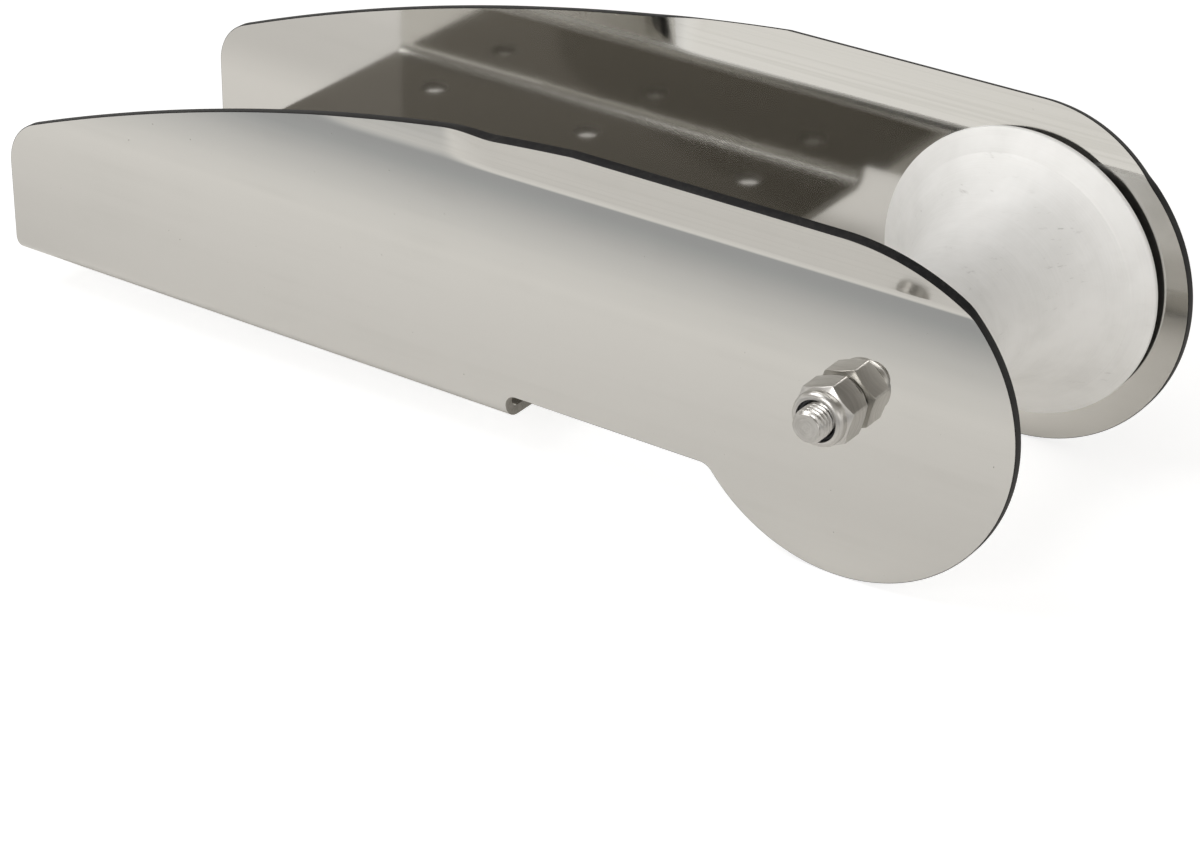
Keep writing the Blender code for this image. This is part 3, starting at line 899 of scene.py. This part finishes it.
    def fold(self, x: np.ndarray, across: np.ndarray, offset: np.ndarray | float) -> np.ndarray:
        """Fold points of the flat sheet into the channel.

        The base stays flat. In the bend a point turns about the bend's centre by its distance past
        the bend line over the bend's middle radius. Past it the cheek stands upright, and past the
        flare line it turns again by the flare's angle, of which a small share fades in along x as
        one smooth step over the lead-in and the rest as another at the flare's start.

        Args:
            x: places along the channel.
            across: signed distances from the sheet's centre line.
            offset: distances from the sheet's middle, positive towards the inside.

        Returns:
            The folded points.
        """
        side = np.where(across >= 0.0, 1.0, -1.0)
        width = np.abs(across)
        offset = np.broadcast_to(np.asarray(offset, dtype=float), width.shape)
        behind = x < self.front_x + 2 * self.notch_radius
        turn = np.clip((width - self.flat_half) / self.bend_middle, 0.0, math.pi / 2)
        radius = self.bend_middle - offset
        bend_y = np.minimum(width, self.flat_half) + radius * np.sin(turn)
        bend_z = self.wall_start_height - radius * np.cos(turn)
        height = width - self.wall_start + self.wall_start_height
        lead_in_x = self.flare_start_x - self.lead_in_start
        lead_in = self.eased((x - lead_in_x) / self.lead_in_length)
        opening = self.eased((x - self.flare_start_x) / self.flare_fade)
        share = self.lead_in_share * lead_in + (1.0 - self.lead_in_share) * opening
        angle = np.maximum(self.flare_angle * share, self.least_turn)
        past = np.maximum(height - self.flare_height, 0.0)
        lean = angle * np.minimum(past / self.flare_bend, 1.0)
        bend = self.flare_bend / angle
        straight = np.maximum(past - self.flare_bend, 0.0)
        middle = (self.inner_width + self.sheet) / 2
        wall_y = middle + bend * (1.0 - np.cos(lean))
        wall_y += straight * np.sin(lean) - offset * np.cos(lean)
        wall_z = np.minimum(height, self.flare_height) + bend * np.sin(lean)
        wall_z += straight * np.cos(lean) + offset * np.sin(lean)
        in_base = (width < self.wall_start) & behind
        y = np.where(in_base, bend_y, wall_y)
        z = np.where(in_base, bend_z, wall_z)
        return np.stack([x, side * y, z], axis=-1)

    def stations(self) -> tuple[np.ndarray, float]:
        """Return the places along x at which the sheet has a row of points, and the front edge's."""
        inset = self.edge_round
        corner = self.rear_corner_radius - inset
        quarter = math.pi / 2
        front = self.front_x - inset
        notch = self.notch_radius + inset
        fillet = self.nose_fillet + inset
        nose = self.nose_radius - inset
        corner_angle = spread(0.0, math.pi - self.corner_turn, steps=18)
        notch_angle = spread(0.0, quarter, steps=10)
        fillet_angle = spread(quarter, self.fillet_turn, steps=8)
        nose_angle = spread(math.pi - self.fillet_turn, 0.0, steps=64)
        flare_end = self.flare_start_x + self.flare_fade
        notch_x = self.front_x + self.notch_radius
        line = apart(
            [
                self.corner_centre[0] - corner * np.cos(corner_angle),
                spread(self.corner_centre[0], self.flare_start_x, steps=60),
                spread(self.flare_start_x, flare_end, steps=30),
                np.array([front]),
                notch_x - notch * np.cos(notch_angle),
                spread(notch_x, self.fillet_x, steps=12),
                np.array([self.top_line_x]),
                self.fillet_x + fillet * np.cos(fillet_angle),
                self.nose_x + nose * np.cos(nose_angle),
            ]
        )
        return line, float(line[np.argmin(np.abs(line - front))])

    def lines_across(self) -> np.ndarray:
        """Return the distances from the centre line at which the sheet has a line of points."""
        bend_end = self.wall_start
        easing = self.line_easing
        flare = self.across_at(self.flare_height)
        flare_end = flare + self.flare_bend
        notch_foot = self.lower - self.notch_radius
        top = self.nose_across + self.nose_radius
        bottom = self.nose_across - self.nose_radius
        return apart(
            [
                spread(0.0, self.flat_half - easing, steps=6),
                np.array([self.flat_half, bend_end, bend_end + easing, notch_foot, self.lower]),
                spread(self.flat_half, bend_end, steps=16),
                spread(bottom, flare - easing, steps=18),
                spread(flare, flare_end, steps=24),
                np.array([flare_end + easing]),
                spread(flare_end + easing, top, steps=8),
            ]
        )

    def build(self, polished: bpy.types.Material, cut: bpy.types.Material) -> None:
        """Make the sheet's two faces and its cut edge, fold them and cut the bolt holes.

        The faces are grids over the places along x and the distances from the centre line, held
        between the lower and upper edge. The cut edge is a small round section carried round the
        whole outline: the side lies out by r sin t and in from the face by r (1 - cos t).

        Args:
            polished: the finish of both faces.
            cut: the finish of the outline's edge and of the holes.
        """
        shell = Shell()
        inset = self.edge_round
        x, front = self.stations()
        across = self.lines_across()
        upper, upper_out = self.upper_edge(x, inset)
        rear_part = x <= front
        ahead = x >= front
        lower, lower_out = self.lower_edge(x[ahead], inset)
        lower[0] = self.lower - self.notch_radius
        for foot, part in ((np.zeros(rear_part.sum()), rear_part), (lower, ahead)):
            line = np.clip(across[None, :], foot[:, None], upper[part][:, None])
            places = np.broadcast_to(x[part][:, None], line.shape)
            quads = grid_quads(*line.shape)
            for side in (1.0, -1.0):
                for offset in (self.sheet / 2, -self.sheet / 2):
                    shell.add(self.fold(places, side * line, offset), quads)

        front_line = across[across <= lower[0] + MERGE_DISTANCE]
        rear_line = np.minimum(across[across <= upper[0]], upper[0])[::-1]
        route = np.concatenate(
            [
                np.stack([np.full(len(front_line), front), front_line], axis=-1),
                np.stack([x[ahead][1:], lower[1:]], axis=-1),
                np.stack([x[::-1][1:], upper[::-1][1:]], axis=-1),
                np.stack([np.full(len(rear_line), x[0]), rear_line], axis=-1),
            ]
        )
        forward = np.tile([1.0, 0.0], (len(front_line), 1))
        backward = np.tile([-1.0, 0.0], (len(rear_line), 1))
        outward = np.concatenate([forward, lower_out[1:], upper_out[::-1][1:], backward])
        turn = spread(0.0, math.pi / 2, steps=5)
        half = self.sheet / 2
        out = inset * np.sin(turn)
        lift = half - inset * (1 - np.cos(turn))
        out = np.concatenate([out, out[::-1]])
        lift = np.concatenate([lift, -lift[::-1]])
        rim_x = route[None, :, 0] + out[:, None] * outward[None, :, 0]
        rim_across = route[None, :, 1] + out[:, None] * outward[None, :, 1]
        rim_lift = np.broadcast_to(lift[:, None], rim_x.shape)
        for side in (1.0, -1.0):
            shell.add(self.fold(rim_x, side * rim_across, rim_lift), grid_quads(*rim_x.shape), finish=1)
        finishes = [polished, cut]
        solid = self._drilled(shell.mesh("channel_sheet"), finishes)
        put_in(solid, finishes, Body.BRACKET, ["channel"])

    def hole_tool(self, radius: float, low: float, high: float) -> np.ndarray:
        """Give the profile of a drill that leaves a small chamfer at both faces of the sheet.

        Args:
            radius: the hole's radius.
            low: where the sheet's one face lies along the drill.
            high: where its other face lies.

        Returns:
            Radius and station of each corner.
        """
        wide = radius + self.hole_chamfer
        spare = self.hole_chamfer * 2
        return np.array(
            [
                [0.0, low - spare],
                [wide + spare, low - spare],
                [radius, low + self.hole_chamfer],
                [radius, high - self.hole_chamfer],
                [wide + spare, high + spare],
                [0.0, high + spare],
            ]
        )

    def _drilled(self, mesh: bpy.types.Mesh, finishes: list[bpy.types.Material]) -> bpy.types.Mesh:
        """Cut the deck bolt holes and the axle holes through the sheet.

        Args:
            mesh: the folded sheet.
            finishes: its materials, which the cut has to know to keep each face's own.

        Returns:
            The drilled sheet.
        """
        tools = Shell()
        steps = self.hole_steps
        pitch = (self.base_length - 2 * self.deck_hole_end_margin) / (self.deck_hole_rows - 1)
        angle = np.arange(steps) * TURN / steps
        deck = self.hole_tool(self.deck_hole_radius, 0.0, self.sheet)
        radius = deck[:, None, 0]
        along = np.broadcast_to(deck[:, None, 1], (len(deck), steps))
        for row in range(self.deck_hole_rows):
            for side in (-1.0, 1.0):
                x = self.rear_x + self.deck_hole_end_margin + row * pitch + radius * np.cos(angle)
                y = side * (self.flat_half - self.deck_hole_side_margin) + radius * np.sin(angle)
                quads = grid_quads(len(deck), steps, column_loop=True)
                tools.add(np.stack([x, y, along], axis=-1), quads, finish=1)
        inside = self.inner_width / 2
        for low in (inside, -inside - self.sheet):
            profile = self.hole_tool(self.axle_hole_radius, low, low + self.sheet)
            tools.add(*self.axle.revolve(profile, steps, loop=False), finish=1)
        drills = bpy.data.objects.new("drills", tools.mesh("drills"))
        blank = bpy.data.objects.new("blank", mesh)
        for item in (drills, blank):
            link(item)
            for finish in finishes:
                item.data.materials.append(finish)
        cut = blank.modifiers.new("holes", "BOOLEAN")
        cut.operation = "DIFFERENCE"
        cut.solver = "EXACT"
        cut.object = drills
        view = bpy.context.evaluated_depsgraph_get()
        drilled = bpy.data.meshes.new_from_object(blank.evaluated_get(view))
        for item in (drills, blank):
            bpy.data.objects.remove(item, do_unlink=True)
        bpy.data.meshes.remove(mesh)
        drilled.name = "channel_sheet"
        return drilled


@dataclass
class Roller:
    """The grooved roller: lands, flank bands, deep groove, hub recesses and bore."""

    axle: AxleLine
    rim_land: float = 0.0016
    band: float = 0.0074
    band_slope: float = math.radians(62.0)
    band_step: float = 0.00022
    step_lean: float = 0.3
    groove_radius: float = 0.0197
    bore_radius: float = 0.0091
    recess_radius: float = 0.0129
    recess_depth: float = 0.001
    corner: float = 0.00055
    steps: int = 256

    def groove(self, rim: float, half: float) -> np.ndarray:
        """Return the groove's profile from its +Y land to its -Y land.

        From each land a straight band slopes inwards, a small step follows, and one round arc
        through the groove's bottom joins the two steps, whose points take its outermost ones' place.

        Args:
            rim: the roller's radius over its rims.
            half: half the roller's width.

        Returns:
            Radius and station of each point.
        """
        edge = half - self.rim_land
        foot = edge - self.band * math.cos(self.band_slope)
        foot_radius = rim - self.band * math.sin(self.band_slope)
        depth = foot_radius - self.groove_radius
        bow = (foot**2 + depth**2) / (2 * depth)
        half_turn = math.asin(foot / bow)
        angle = spread(half_turn, -half_turn, steps=72)
        arc = np.stack([self.groove_radius + bow * (1 - np.cos(angle)), bow * np.sin(angle)], axis=-1)
        inwards = foot - self.band_step * self.step_lean
        far_foot = np.array([[foot_radius + self.band_step, foot], [foot_radius, inwards]])
        near_foot = far_foot[::-1] * (1.0, -1.0)
        return np.concatenate([[[rim, edge]], far_foot, arc[2:-2], near_foot, [[rim, -edge]]])

    def build(self, finish: bpy.types.Material) -> None:
        """Turn the roller and put it in the roller's place.

        Args:
            finish: its material.
        """
        low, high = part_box("roller")
        rim = (high.z - low.z) / 2
        half = (high.y - low.y) / 2
        middle = (high.y + low.y) / 2
        hub = half - self.recess_depth
        corners = np.concatenate(
            [
                [[self.recess_radius, half], [rim, half]],
                self.groove(rim, half),
                [[rim, -half], [self.recess_radius, -half]],
                [[self.recess_radius, -hub], [self.bore_radius, -hub]],
                [[self.bore_radius, hub], [self.recess_radius, hub]],
            ]
        )
        profile = softened(corners, self.corner, steps=4)
        profile[:, 1] += middle
        mesh = self.axle.turn("roller_body", profile, self.steps)
        put_in(mesh, [finish], Body.ROLLER_SET, ["roller"])


@dataclass
class PlainRings:
    """The plain turned rings on the axle: bushes, sleeve and head washer."""

    axle: AxleLine
    flange_radius: float = 0.0126
    bush_bore: float = 0.0071
    bush_radius: float = 0.0088
    flange_thickness: float = 0.0023
    sleeve_bore: float = 0.0053
    washer_bore: float = 0.0053
    corner: float = 0.0003
    steps: int = 128

    def _turn(
        self,
        corners: list[Pair],
        name: str,
        finish: bpy.types.Material,
        body: Body,
        node: str,
    ) -> None:
        """Turn one ring and put it in its node's place.

        Args:
            corners: the corners of its profile, radius and station each.
            name: the piece's name.
            finish: its material.
            body: the body that it rides on.
            node: the frame's node that it stands for.
        """
        profile = softened(np.array(corners), self.corner, steps=4)
        put_in(self.axle.turn(name, profile, self.steps), [finish], body, [node])

    def ring(self, node: str, bore: float, name: str, finish: bpy.types.Material) -> None:
        """Turn a plain ring with the outside size of a node on the bracket.

        Args:
            node: the node.
            bore: the ring's inner radius.
            name: the piece's name.
            finish: its material.
        """
        low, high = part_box(node)
        outer = (high.z - low.z) / 2
        corners = [(bore, high.y), (outer, high.y), (outer, low.y), (bore, low.y)]
        self._turn(corners, name, finish, Body.BRACKET, node)

    def bush(self, node: str, outer_end: float, inner_end: float, finish: bpy.types.Material) -> None:
        """Turn a flanged bush whose flange lies at its outer end.

        Args:
            node: the bush's node.
            outer_end: the station of the flange's free face.
            inner_end: the station of the end inside the roller.
            finish: its material.
        """
        shoulder = outer_end + math.copysign(self.flange_thickness, inner_end - outer_end)
        corners = [
            (self.bush_bore, outer_end),
            (self.flange_radius, outer_end),
            (self.flange_radius, shoulder),
            (self.bush_radius, shoulder),
            (self.bush_radius, inner_end),
            (self.bush_bore, inner_end),
        ]
        self._turn(corners, f"{node}_turned", finish, Body.ROLLER_SET, node)

    def build(self, steel: bpy.types.Material, bearing: bpy.types.Material) -> None:
        """Turn every plain ring.

        Args:
            steel: the finish of the sleeve and the washer.
            bearing: the finish of the bushes.
        """
        self.ring("axle_sleeve", self.sleeve_bore, "sleeve_tube", steel)
        self.ring("head_washer", self.washer_bore, "washer_ring", steel)
        low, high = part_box("near_bush")
        self.bush("near_bush", low.y, high.y, bearing)
        low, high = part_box("far_bush")
        self.bush("far_bush", high.y, low.y, bearing)


@dataclass
class Fasteners:
    """The axle bolt with its real thread, and the lock nut with its insert."""

    axle: AxleLine
    bolt_radius: float = 0.005
    pitch: float = 0.0015
    thread_depth: float = 0.00084
    thread_length: float = 0.026
    bolt_chamfer: float = 0.0010
    thread_gap: float = 0.0003
    half_flats: float = 0.0085
    end_inset: float = 0.0009
    seat_height: float = 0.0006
    seat_inset: float = 0.0013
    hex_round: float = 0.00060
    chamfer_slope: float = math.tan(math.radians(30.0))
    head_turn: float = math.radians(20.0)
    lock_turn: float = math.radians(13.5)
    lock_hex_height: float = 0.0103
    collar_radius: float = 0.0082
    collar_round: float = 0.0018
    lip_radius: float = 0.0063
    lip_length: float = 0.0010
    insert_radius: float = 0.0067
    insert_round: float = 0.0003
    thread_slope: float = 1.45
    thread_flat: float = 0.18
    edge_round: float = 0.00018
    fine_edge: float = 0.0001
    collar_step: float = 0.00012
    head_face_share: float = 0.72
    tip_face_share: float = 0.6
    bolt_rows_a_turn: int = 14
    bore_rows_a_turn: int = 12
    steps: int = 216

    def angles(self) -> np.ndarray:
        """Return the angles round the axle at which every fastener has a line of points."""
        return np.arange(self.steps) * TURN / self.steps

    def rows(self, pairs: list[tuple[Any, Any]]) -> np.ndarray:
        """Return rows of a profile, whose radius and station are one number or one for each angle."""
        level = np.zeros(self.steps)
        return np.stack([np.stack([radius + level, station + level], axis=-1) for radius, station in pairs])

    def hexagon(self, turn: float) -> np.ndarray:
        """Give a six-sided outline with rounded corners.

        On a flat the radius is half the flats over the cosine of the angle from the flat's middle.
        Near a corner it is the distance to a small circle that touches both flats: m cos a plus
        the root of r squared less m squared sin squared a, where m is how far out that circle lies.

        Args:
            turn: how far the outline is turned about the axle.

        Returns:
            The radius at each angle.
        """
        sixth = TURN / 6
        away = np.abs(np.mod(self.angles() + turn, sixth) - sixth / 2)
        middle = (self.half_flats - self.hex_round) / math.cos(sixth / 2)
        side = self.hex_round * math.sin(sixth / 2)
        touch = math.atan2(side, middle + self.hex_round * math.cos(sixth / 2))
        root = np.sqrt(np.maximum(self.hex_round**2 - (middle * np.sin(away)) ** 2, 0.0))
        flat = self.half_flats / np.cos(sixth / 2 - away)
        return np.where(away < touch, middle * np.cos(away) + root, flat)

    def block(self, turn: float, bearing: float, free: float, top: list[Pair]) -> np.ndarray:
        """Give the outside of a six-sided block from its bearing end to its free end.

        The corners are cut at both ends by a cone, so each side's edge dips as the outline's
        radius grows: it lies below the end by the radius past the flat times the cone's slope.

        Args:
            turn: how far the block is turned about the axle.
            bearing: the station of the raised seat face.
            free: the station of the six-sided part's other end.
            top: further corners past that end.

        Returns:
            The profile with rounded edges, one column for each angle.
        """
        sense = math.copysign(1.0, free - bearing)
        outline = self.hexagon(turn)
        cone = self.half_flats - self.end_inset
        dip = sense * (outline - cone) * self.chamfer_slope
        seat = self.half_flats - self.seat_inset
        shoulder = bearing + sense * self.seat_height
        corners = [
            (seat, bearing),
            (seat, shoulder),
            (cone, shoulder),
            (outline, shoulder + dip),
            (outline, free - dip),
            (cone, free),
        ]
        return softened(self.rows(corners + top), self.edge_round, steps=3, loop=False)

    def thread(self, start: float, end: float, major: float, rows: int) -> np.ndarray:
        """Give a right-handed thread.

        The depth at a station y and an angle a follows the phase y / pitch + a / turn: it falls
        straight from the crest to the root and back, with a flat at each.

        Args:
            start: the first station.
            end: the last station.
            major: the crest's radius.
            rows: the number of parts between them.

        Returns:
            One profile for each angle.
        """
        station = spread(start, end, rows)[:, None]
        phase = np.mod(station / self.pitch + self.angles()[None, :] / TURN, 1.0)
        fall = 1.0 - 2.0 * np.abs(phase - 0.5)
        wave = np.clip(self.thread_slope * fall - self.thread_flat, 0.0, 1.0)
        radius = major - self.thread_depth * wave
        return np.stack([radius, np.broadcast_to(station, radius.shape)], axis=-1)

    def build_bolt(self, finish: bpy.types.Material) -> None:
        """Make the bolt: head, plain shank under the sleeve and threaded end.

        Args:
            finish: its material.
        """
        low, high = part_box("axle_bolt")
        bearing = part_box("head_washer")[1].y + self.thread_gap
        top = [(self.half_flats * self.head_face_share, high.y)]
        thread_end = low.y + self.thread_length
        count = round(self.thread_length / self.pitch * self.bolt_rows_a_turn)
        threaded = self.thread(low.y, thread_end, self.bolt_radius, count)
        radius, station = threaded[..., 0], threaded[..., 1]
        face = self.bolt_radius - self.bolt_chamfer
        radius = np.minimum(radius, face + (station - low.y))
        run_out = np.clip((thread_end - station) / (2 * self.pitch), 0.0, 1.0)
        threaded[..., 0] = self.bolt_radius - (self.bolt_radius - radius) * run_out
        fine = self.fine_edge
        profile = np.concatenate(
            [
                self.rows([(0.0, low.y), (face * self.tip_face_share, low.y), (face - fine, low.y)]),
                threaded,
                self.rows([(self.bolt_radius, bearing - fine), (self.bolt_radius + fine, bearing)]),
                self.block(self.head_turn, bearing, high.y, top),
                self.rows([(0.0, high.y)]),
            ]
        )
        mesh = self.axle.turn("bolt_turned", profile, self.steps, loop=False)
        put_in(mesh, [finish], Body.BRACKET, ["axle_bolt"])

    def bore(self, start: float, end: float) -> np.ndarray:
        """Give a nut's threaded bore with a countersink at each end.

        Args:
            start: the first station.
            end: the last station.

        Returns:
            One profile for each angle.
        """
        rows = round(abs(end - start) / self.pitch * self.bore_rows_a_turn)
        crest = self.bolt_radius + self.thread_gap
        bore = self.thread(start, end, crest + self.thread_depth, rows)
        sink = np.minimum(np.abs(bore[..., 1] - start), np.abs(bore[..., 1] - end))
        bore[..., 0] = np.maximum(bore[..., 0], crest + self.thread_depth - sink)
        return bore

    def build_lock_nut(self, finish: bpy.types.Material, plastic: bpy.types.Material) -> None:
        """Make the lock nut with its rounded collar, and the insert held under the collar's lip.

        The collar's rounding is a quarter circle: a point at angle a lies r cos a out from its
        centre and r sin a towards the nut's free end.

        Args:
            finish: the nut's material.
            plastic: the insert's material.
        """
        low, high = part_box("lock_nut")
        insert_low, insert_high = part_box("lock_nut_insert")
        free = high.y - self.lock_hex_height
        edge = self.collar_radius - self.collar_round
        angle = spread(0.0, math.pi / 2, steps=10)
        out = edge + self.collar_round * np.cos(angle)
        station = low.y + self.collar_round * (1 - np.sin(angle))
        dome = [(self.collar_radius, free - self.collar_step), *zip(out, station), (self.lip_radius, low.y)]
        seat = self.insert_radius + self.thread_gap
        lip_end = low.y + self.lip_length
        seat_end = insert_high.y + self.thread_gap
        profile = np.concatenate(
            [
                self.block(self.lock_turn, high.y, free, dome),
                self.rows([(self.lip_radius, lip_end), (seat, lip_end), (seat, seat_end)]),
                self.bore(seat_end, high.y),
            ]
        )
        mesh = self.axle.turn("lock_nut_cut", profile, self.steps)
        put_in(mesh, [finish], Body.BRACKET, ["lock_nut"])

        bore = self.bolt_radius + self.thread_gap
        corners = [
            (bore, insert_high.y),
            (self.insert_radius, insert_high.y),
            (self.insert_radius, insert_low.y),
            (bore, insert_low.y),
        ]
        profile = softened(np.array(corners), self.insert_round, steps=4)
        mesh = self.axle.turn("insert_ring", profile, steps=96)
        put_in(mesh, [plastic], Body.BRACKET, ["lock_nut_insert"])


@dataclass(frozen=True)
class SoftLamp:
    """A round soft lamp that faces a point."""

    name: str
    place: Triple
    aim: Triple
    size: float
    power: float

    def hang(self) -> None:
        """Put the lamp in the scene."""
        data = bpy.data.lights.new(self.name, "AREA")
        data.shape = "DISK"
        data.size = self.size
        data.energy = self.power
        lamp = bpy.data.objects.new(self.name, data)
        lamp.location = self.place
        ahead = Vector(self.aim) - Vector(self.place)
        lamp.rotation_euler = ahead.to_track_quat("-Z", "Y").to_euler()
        link(lamp)


@dataclass(frozen=True)
class Studio:
    """Pale floor, soft world light, lamps and the camera at the photograph's viewing angle."""

    floor_size: float = 8.0
    floor_gap: float = 0.0002
    camera_place: Triple = (0.62078, -0.77791, 0.48689)
    azimuth: float = math.radians(34.0745)
    elevation: float = math.radians(28.7281)
    roll: float = math.radians(0.9456)
    focal_length: float = 103.763
    sensor: float = 36.0
    nearest: float = 0.05
    floor_reach: Pair = (-0.05, -0.25)
    floor_tones: Stops = (
        (0.175, (0.87, 0.858, 0.84)),
        (0.35, (0.94, 0.928, 0.91)),
        (0.525, (1.0, 0.99, 0.97)),
        (0.60, (0.93, 0.925, 0.91)),
        (0.70, (0.74, 0.745, 0.745)),
        (0.78, (0.53, 0.545, 0.56)),
        (0.88, (0.44, 0.45, 0.465)),
        (1.0, (0.40, 0.405, 0.41)),
    )
    seen_grey: Triple = (0.45, 0.45, 0.45)
    seen_glow: float = 0.78
    under_reach: Pair = (-0.055, -0.020)
    under_glow: float = 0.16
    under_tint: Triple = (1.0, 0.97, 0.92)
    sky_tones: Stops = (
        (0.0, (0.80, 0.79, 0.77)),
        (0.10, (0.98, 0.97, 0.94)),
        (0.20, (0.96, 0.94, 0.90)),
        (0.32, (0.36, 0.335, 0.30)),
        (0.46, (0.10, 0.092, 0.08)),
        (0.56, (0.12, 0.11, 0.095)),
        (0.64, (0.32, 0.30, 0.27)),
        (0.80, (0.32, 0.31, 0.29)),
        (1.0, (0.24, 0.235, 0.23)),
    )
    lamps: tuple[SoftLamp, ...] = (
        SoftLamp("key_lamp", (-0.45, -0.40, 1.10), (0.10, 0.0, 0.05), size=0.90, power=6.8),
        SoftLamp("side_lamp", (1.25, -0.50, 0.45), (0.12, 0.0, 0.04), size=0.7, power=1.2),
        SoftLamp("front_lamp", (0.20, -1.45, 0.85), (0.10, 0.0, 0.04), size=0.8, power=6.4),
    )

    def build(self) -> None:
        """Make the camera, the floor, the world and the lamps."""
        self._camera()
        self._floor()
        self._world()
        for lamp in self.lamps:
            lamp.hang()

    def _camera(self) -> None:
        """Place the camera by its direction from the object."""
        around, above = self.azimuth, self.elevation
        level = math.cos(above)
        back = Vector((math.sin(around) * level, -math.cos(around) * level, math.sin(above)))
        right = Vector((0.0, 0.0, 1.0)).cross(back).normalized()
        up = back.cross(right)
        turn = Matrix((right, up, back)).transposed() @ Matrix.Rotation(self.roll, 3, "Z")
        data = bpy.data.cameras.new("camera")
        data.lens = self.focal_length
        data.sensor_width = self.sensor
        data.clip_start = self.nearest
        camera = bpy.data.objects.new("camera", data)
        camera.matrix_world = Matrix.Translation(self.camera_place) @ turn.to_4x4()
        link(camera)
        bpy.context.scene.camera = camera

    def _floor(self) -> None:
        """Lay the floor just under the lowest point of the nose."""
        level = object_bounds()[0].z - self.floor_gap
        half = self.floor_size / 2
        mesh = bpy.data.meshes.new("floor")
        corners = [(-half, -half, level), (half, -half, level), (half, half, level), (-half, half, level)]
        mesh.from_pydata(corners, [], [[0, 1, 2, 3]])
        floor = bpy.data.objects.new("floor", mesh)
        link(floor)
        mesh.materials.append(self._floor_paint())
        floor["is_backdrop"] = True

    def _floor_paint(self) -> bpy.types.Material:
        """Return the floor's finish: white to the camera, darker in mirrors away from the object, and
        glowing in mirrors under the object as painted light that lifts its shadow.
        """
        tree = Tree.of_material("floor_paint")
        side = tree.axis("Y")
        distance = side.between(*self.floor_reach, smooth=False)
        tone = tree.node("ShaderNodeValToRGB", {"stops": self.floor_tones}, {0: distance})
        seen = tree.node("ShaderNodeLightPath", output="Is Camera Ray")
        shown = tree.blend(seen, tone, self.seen_grey)
        diffuse = tree.node("ShaderNodeBsdfDiffuse", {}, {"Color": shown})
        # painted light: in reflections the floor glows under the object, lifting the object's own shadow
        # there
        under = side.between(*self.under_reach) * self.under_glow
        light = under + seen * (self.seen_glow - under)
        tint = tree.blend(seen, self.under_tint, WHITE)
        glow = tree.node("ShaderNodeEmission", {}, {"Color": tint, "Strength": light})
        return tree.finish(tree.node("ShaderNodeAddShader", {}, {0: diffuse, 1: glow}))

    def _world(self) -> None:
        """Make the world: white to the camera, bright at the horizon and darker overhead."""
        world = bpy.data.worlds.new("studio")
        bpy.context.scene.world = world
        tree = Tree(world, "ShaderNodeOutputWorld")
        height = tree.axis("Z", tree.node("ShaderNodeTexCoord", output="Generated"))
        tone = tree.node("ShaderNodeValToRGB", {"stops": self.sky_tones}, {0: height})
        seen = tree.node("ShaderNodeLightPath", output="Is Camera Ray")
        tree.finish(tree.node("ShaderNodeBackground", {}, {"Color": tree.blend(seen, tone, WHITE)}))


def main() -> None:
    """Build and dress every piece, then set the stage."""
    logging.basicConfig(level=logging.INFO, format="%(message)s")
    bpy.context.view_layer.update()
    bpy.context.scene.view_settings.view_transform = "Standard"

    joint = Vector(frame["joints"][0]["pos_m"])
    axle = AxleLine(joint.x, joint.z)
    polished = PolishedSheet().make()
    cut = CutEdge().make()
    satin = TurnedMetal(
        name="satin_roller",
        light=(0.94, 0.937, 0.925),
        dark=(0.86, 0.857, 0.842),
        roughness=0.60,
        ring_count=2600.0,
        ring_depth=0.000006,
        ring_share=0.18,
        scuff=1.6,
        metallic=0.24,
        end_shade_from=0.0478,
    ).make(joint)
    steel = TurnedMetal(
        name="fastener_steel_satin",
        light=(0.67, 0.655, 0.63),
        dark=(0.52, 0.505, 0.48),
        roughness=0.34,
        ring_count=1800.0,
        ring_depth=0.00001,
        ring_share=0.38,
        scuff=0.7,
    ).make(joint)
    bearing = MouldedPlastic("bearing_plastic", light=(0.80, 0.78, 0.71), dark=(0.70, 0.68, 0.61)).make()
    nylon = MouldedPlastic("insert_nylon", light=(0.05, 0.05, 0.055), dark=(0.025, 0.025, 0.03)).make()

    Channel(axle).build(polished, cut)
    Roller(axle).build(satin)
    PlainRings(axle).build(steel, bearing)
    fasteners = Fasteners(axle)
    fasteners.build_bolt(steel)
    fasteners.build_lock_nut(steel, nylon)
    Studio().build()


if __name__ == "__main__":
    main()
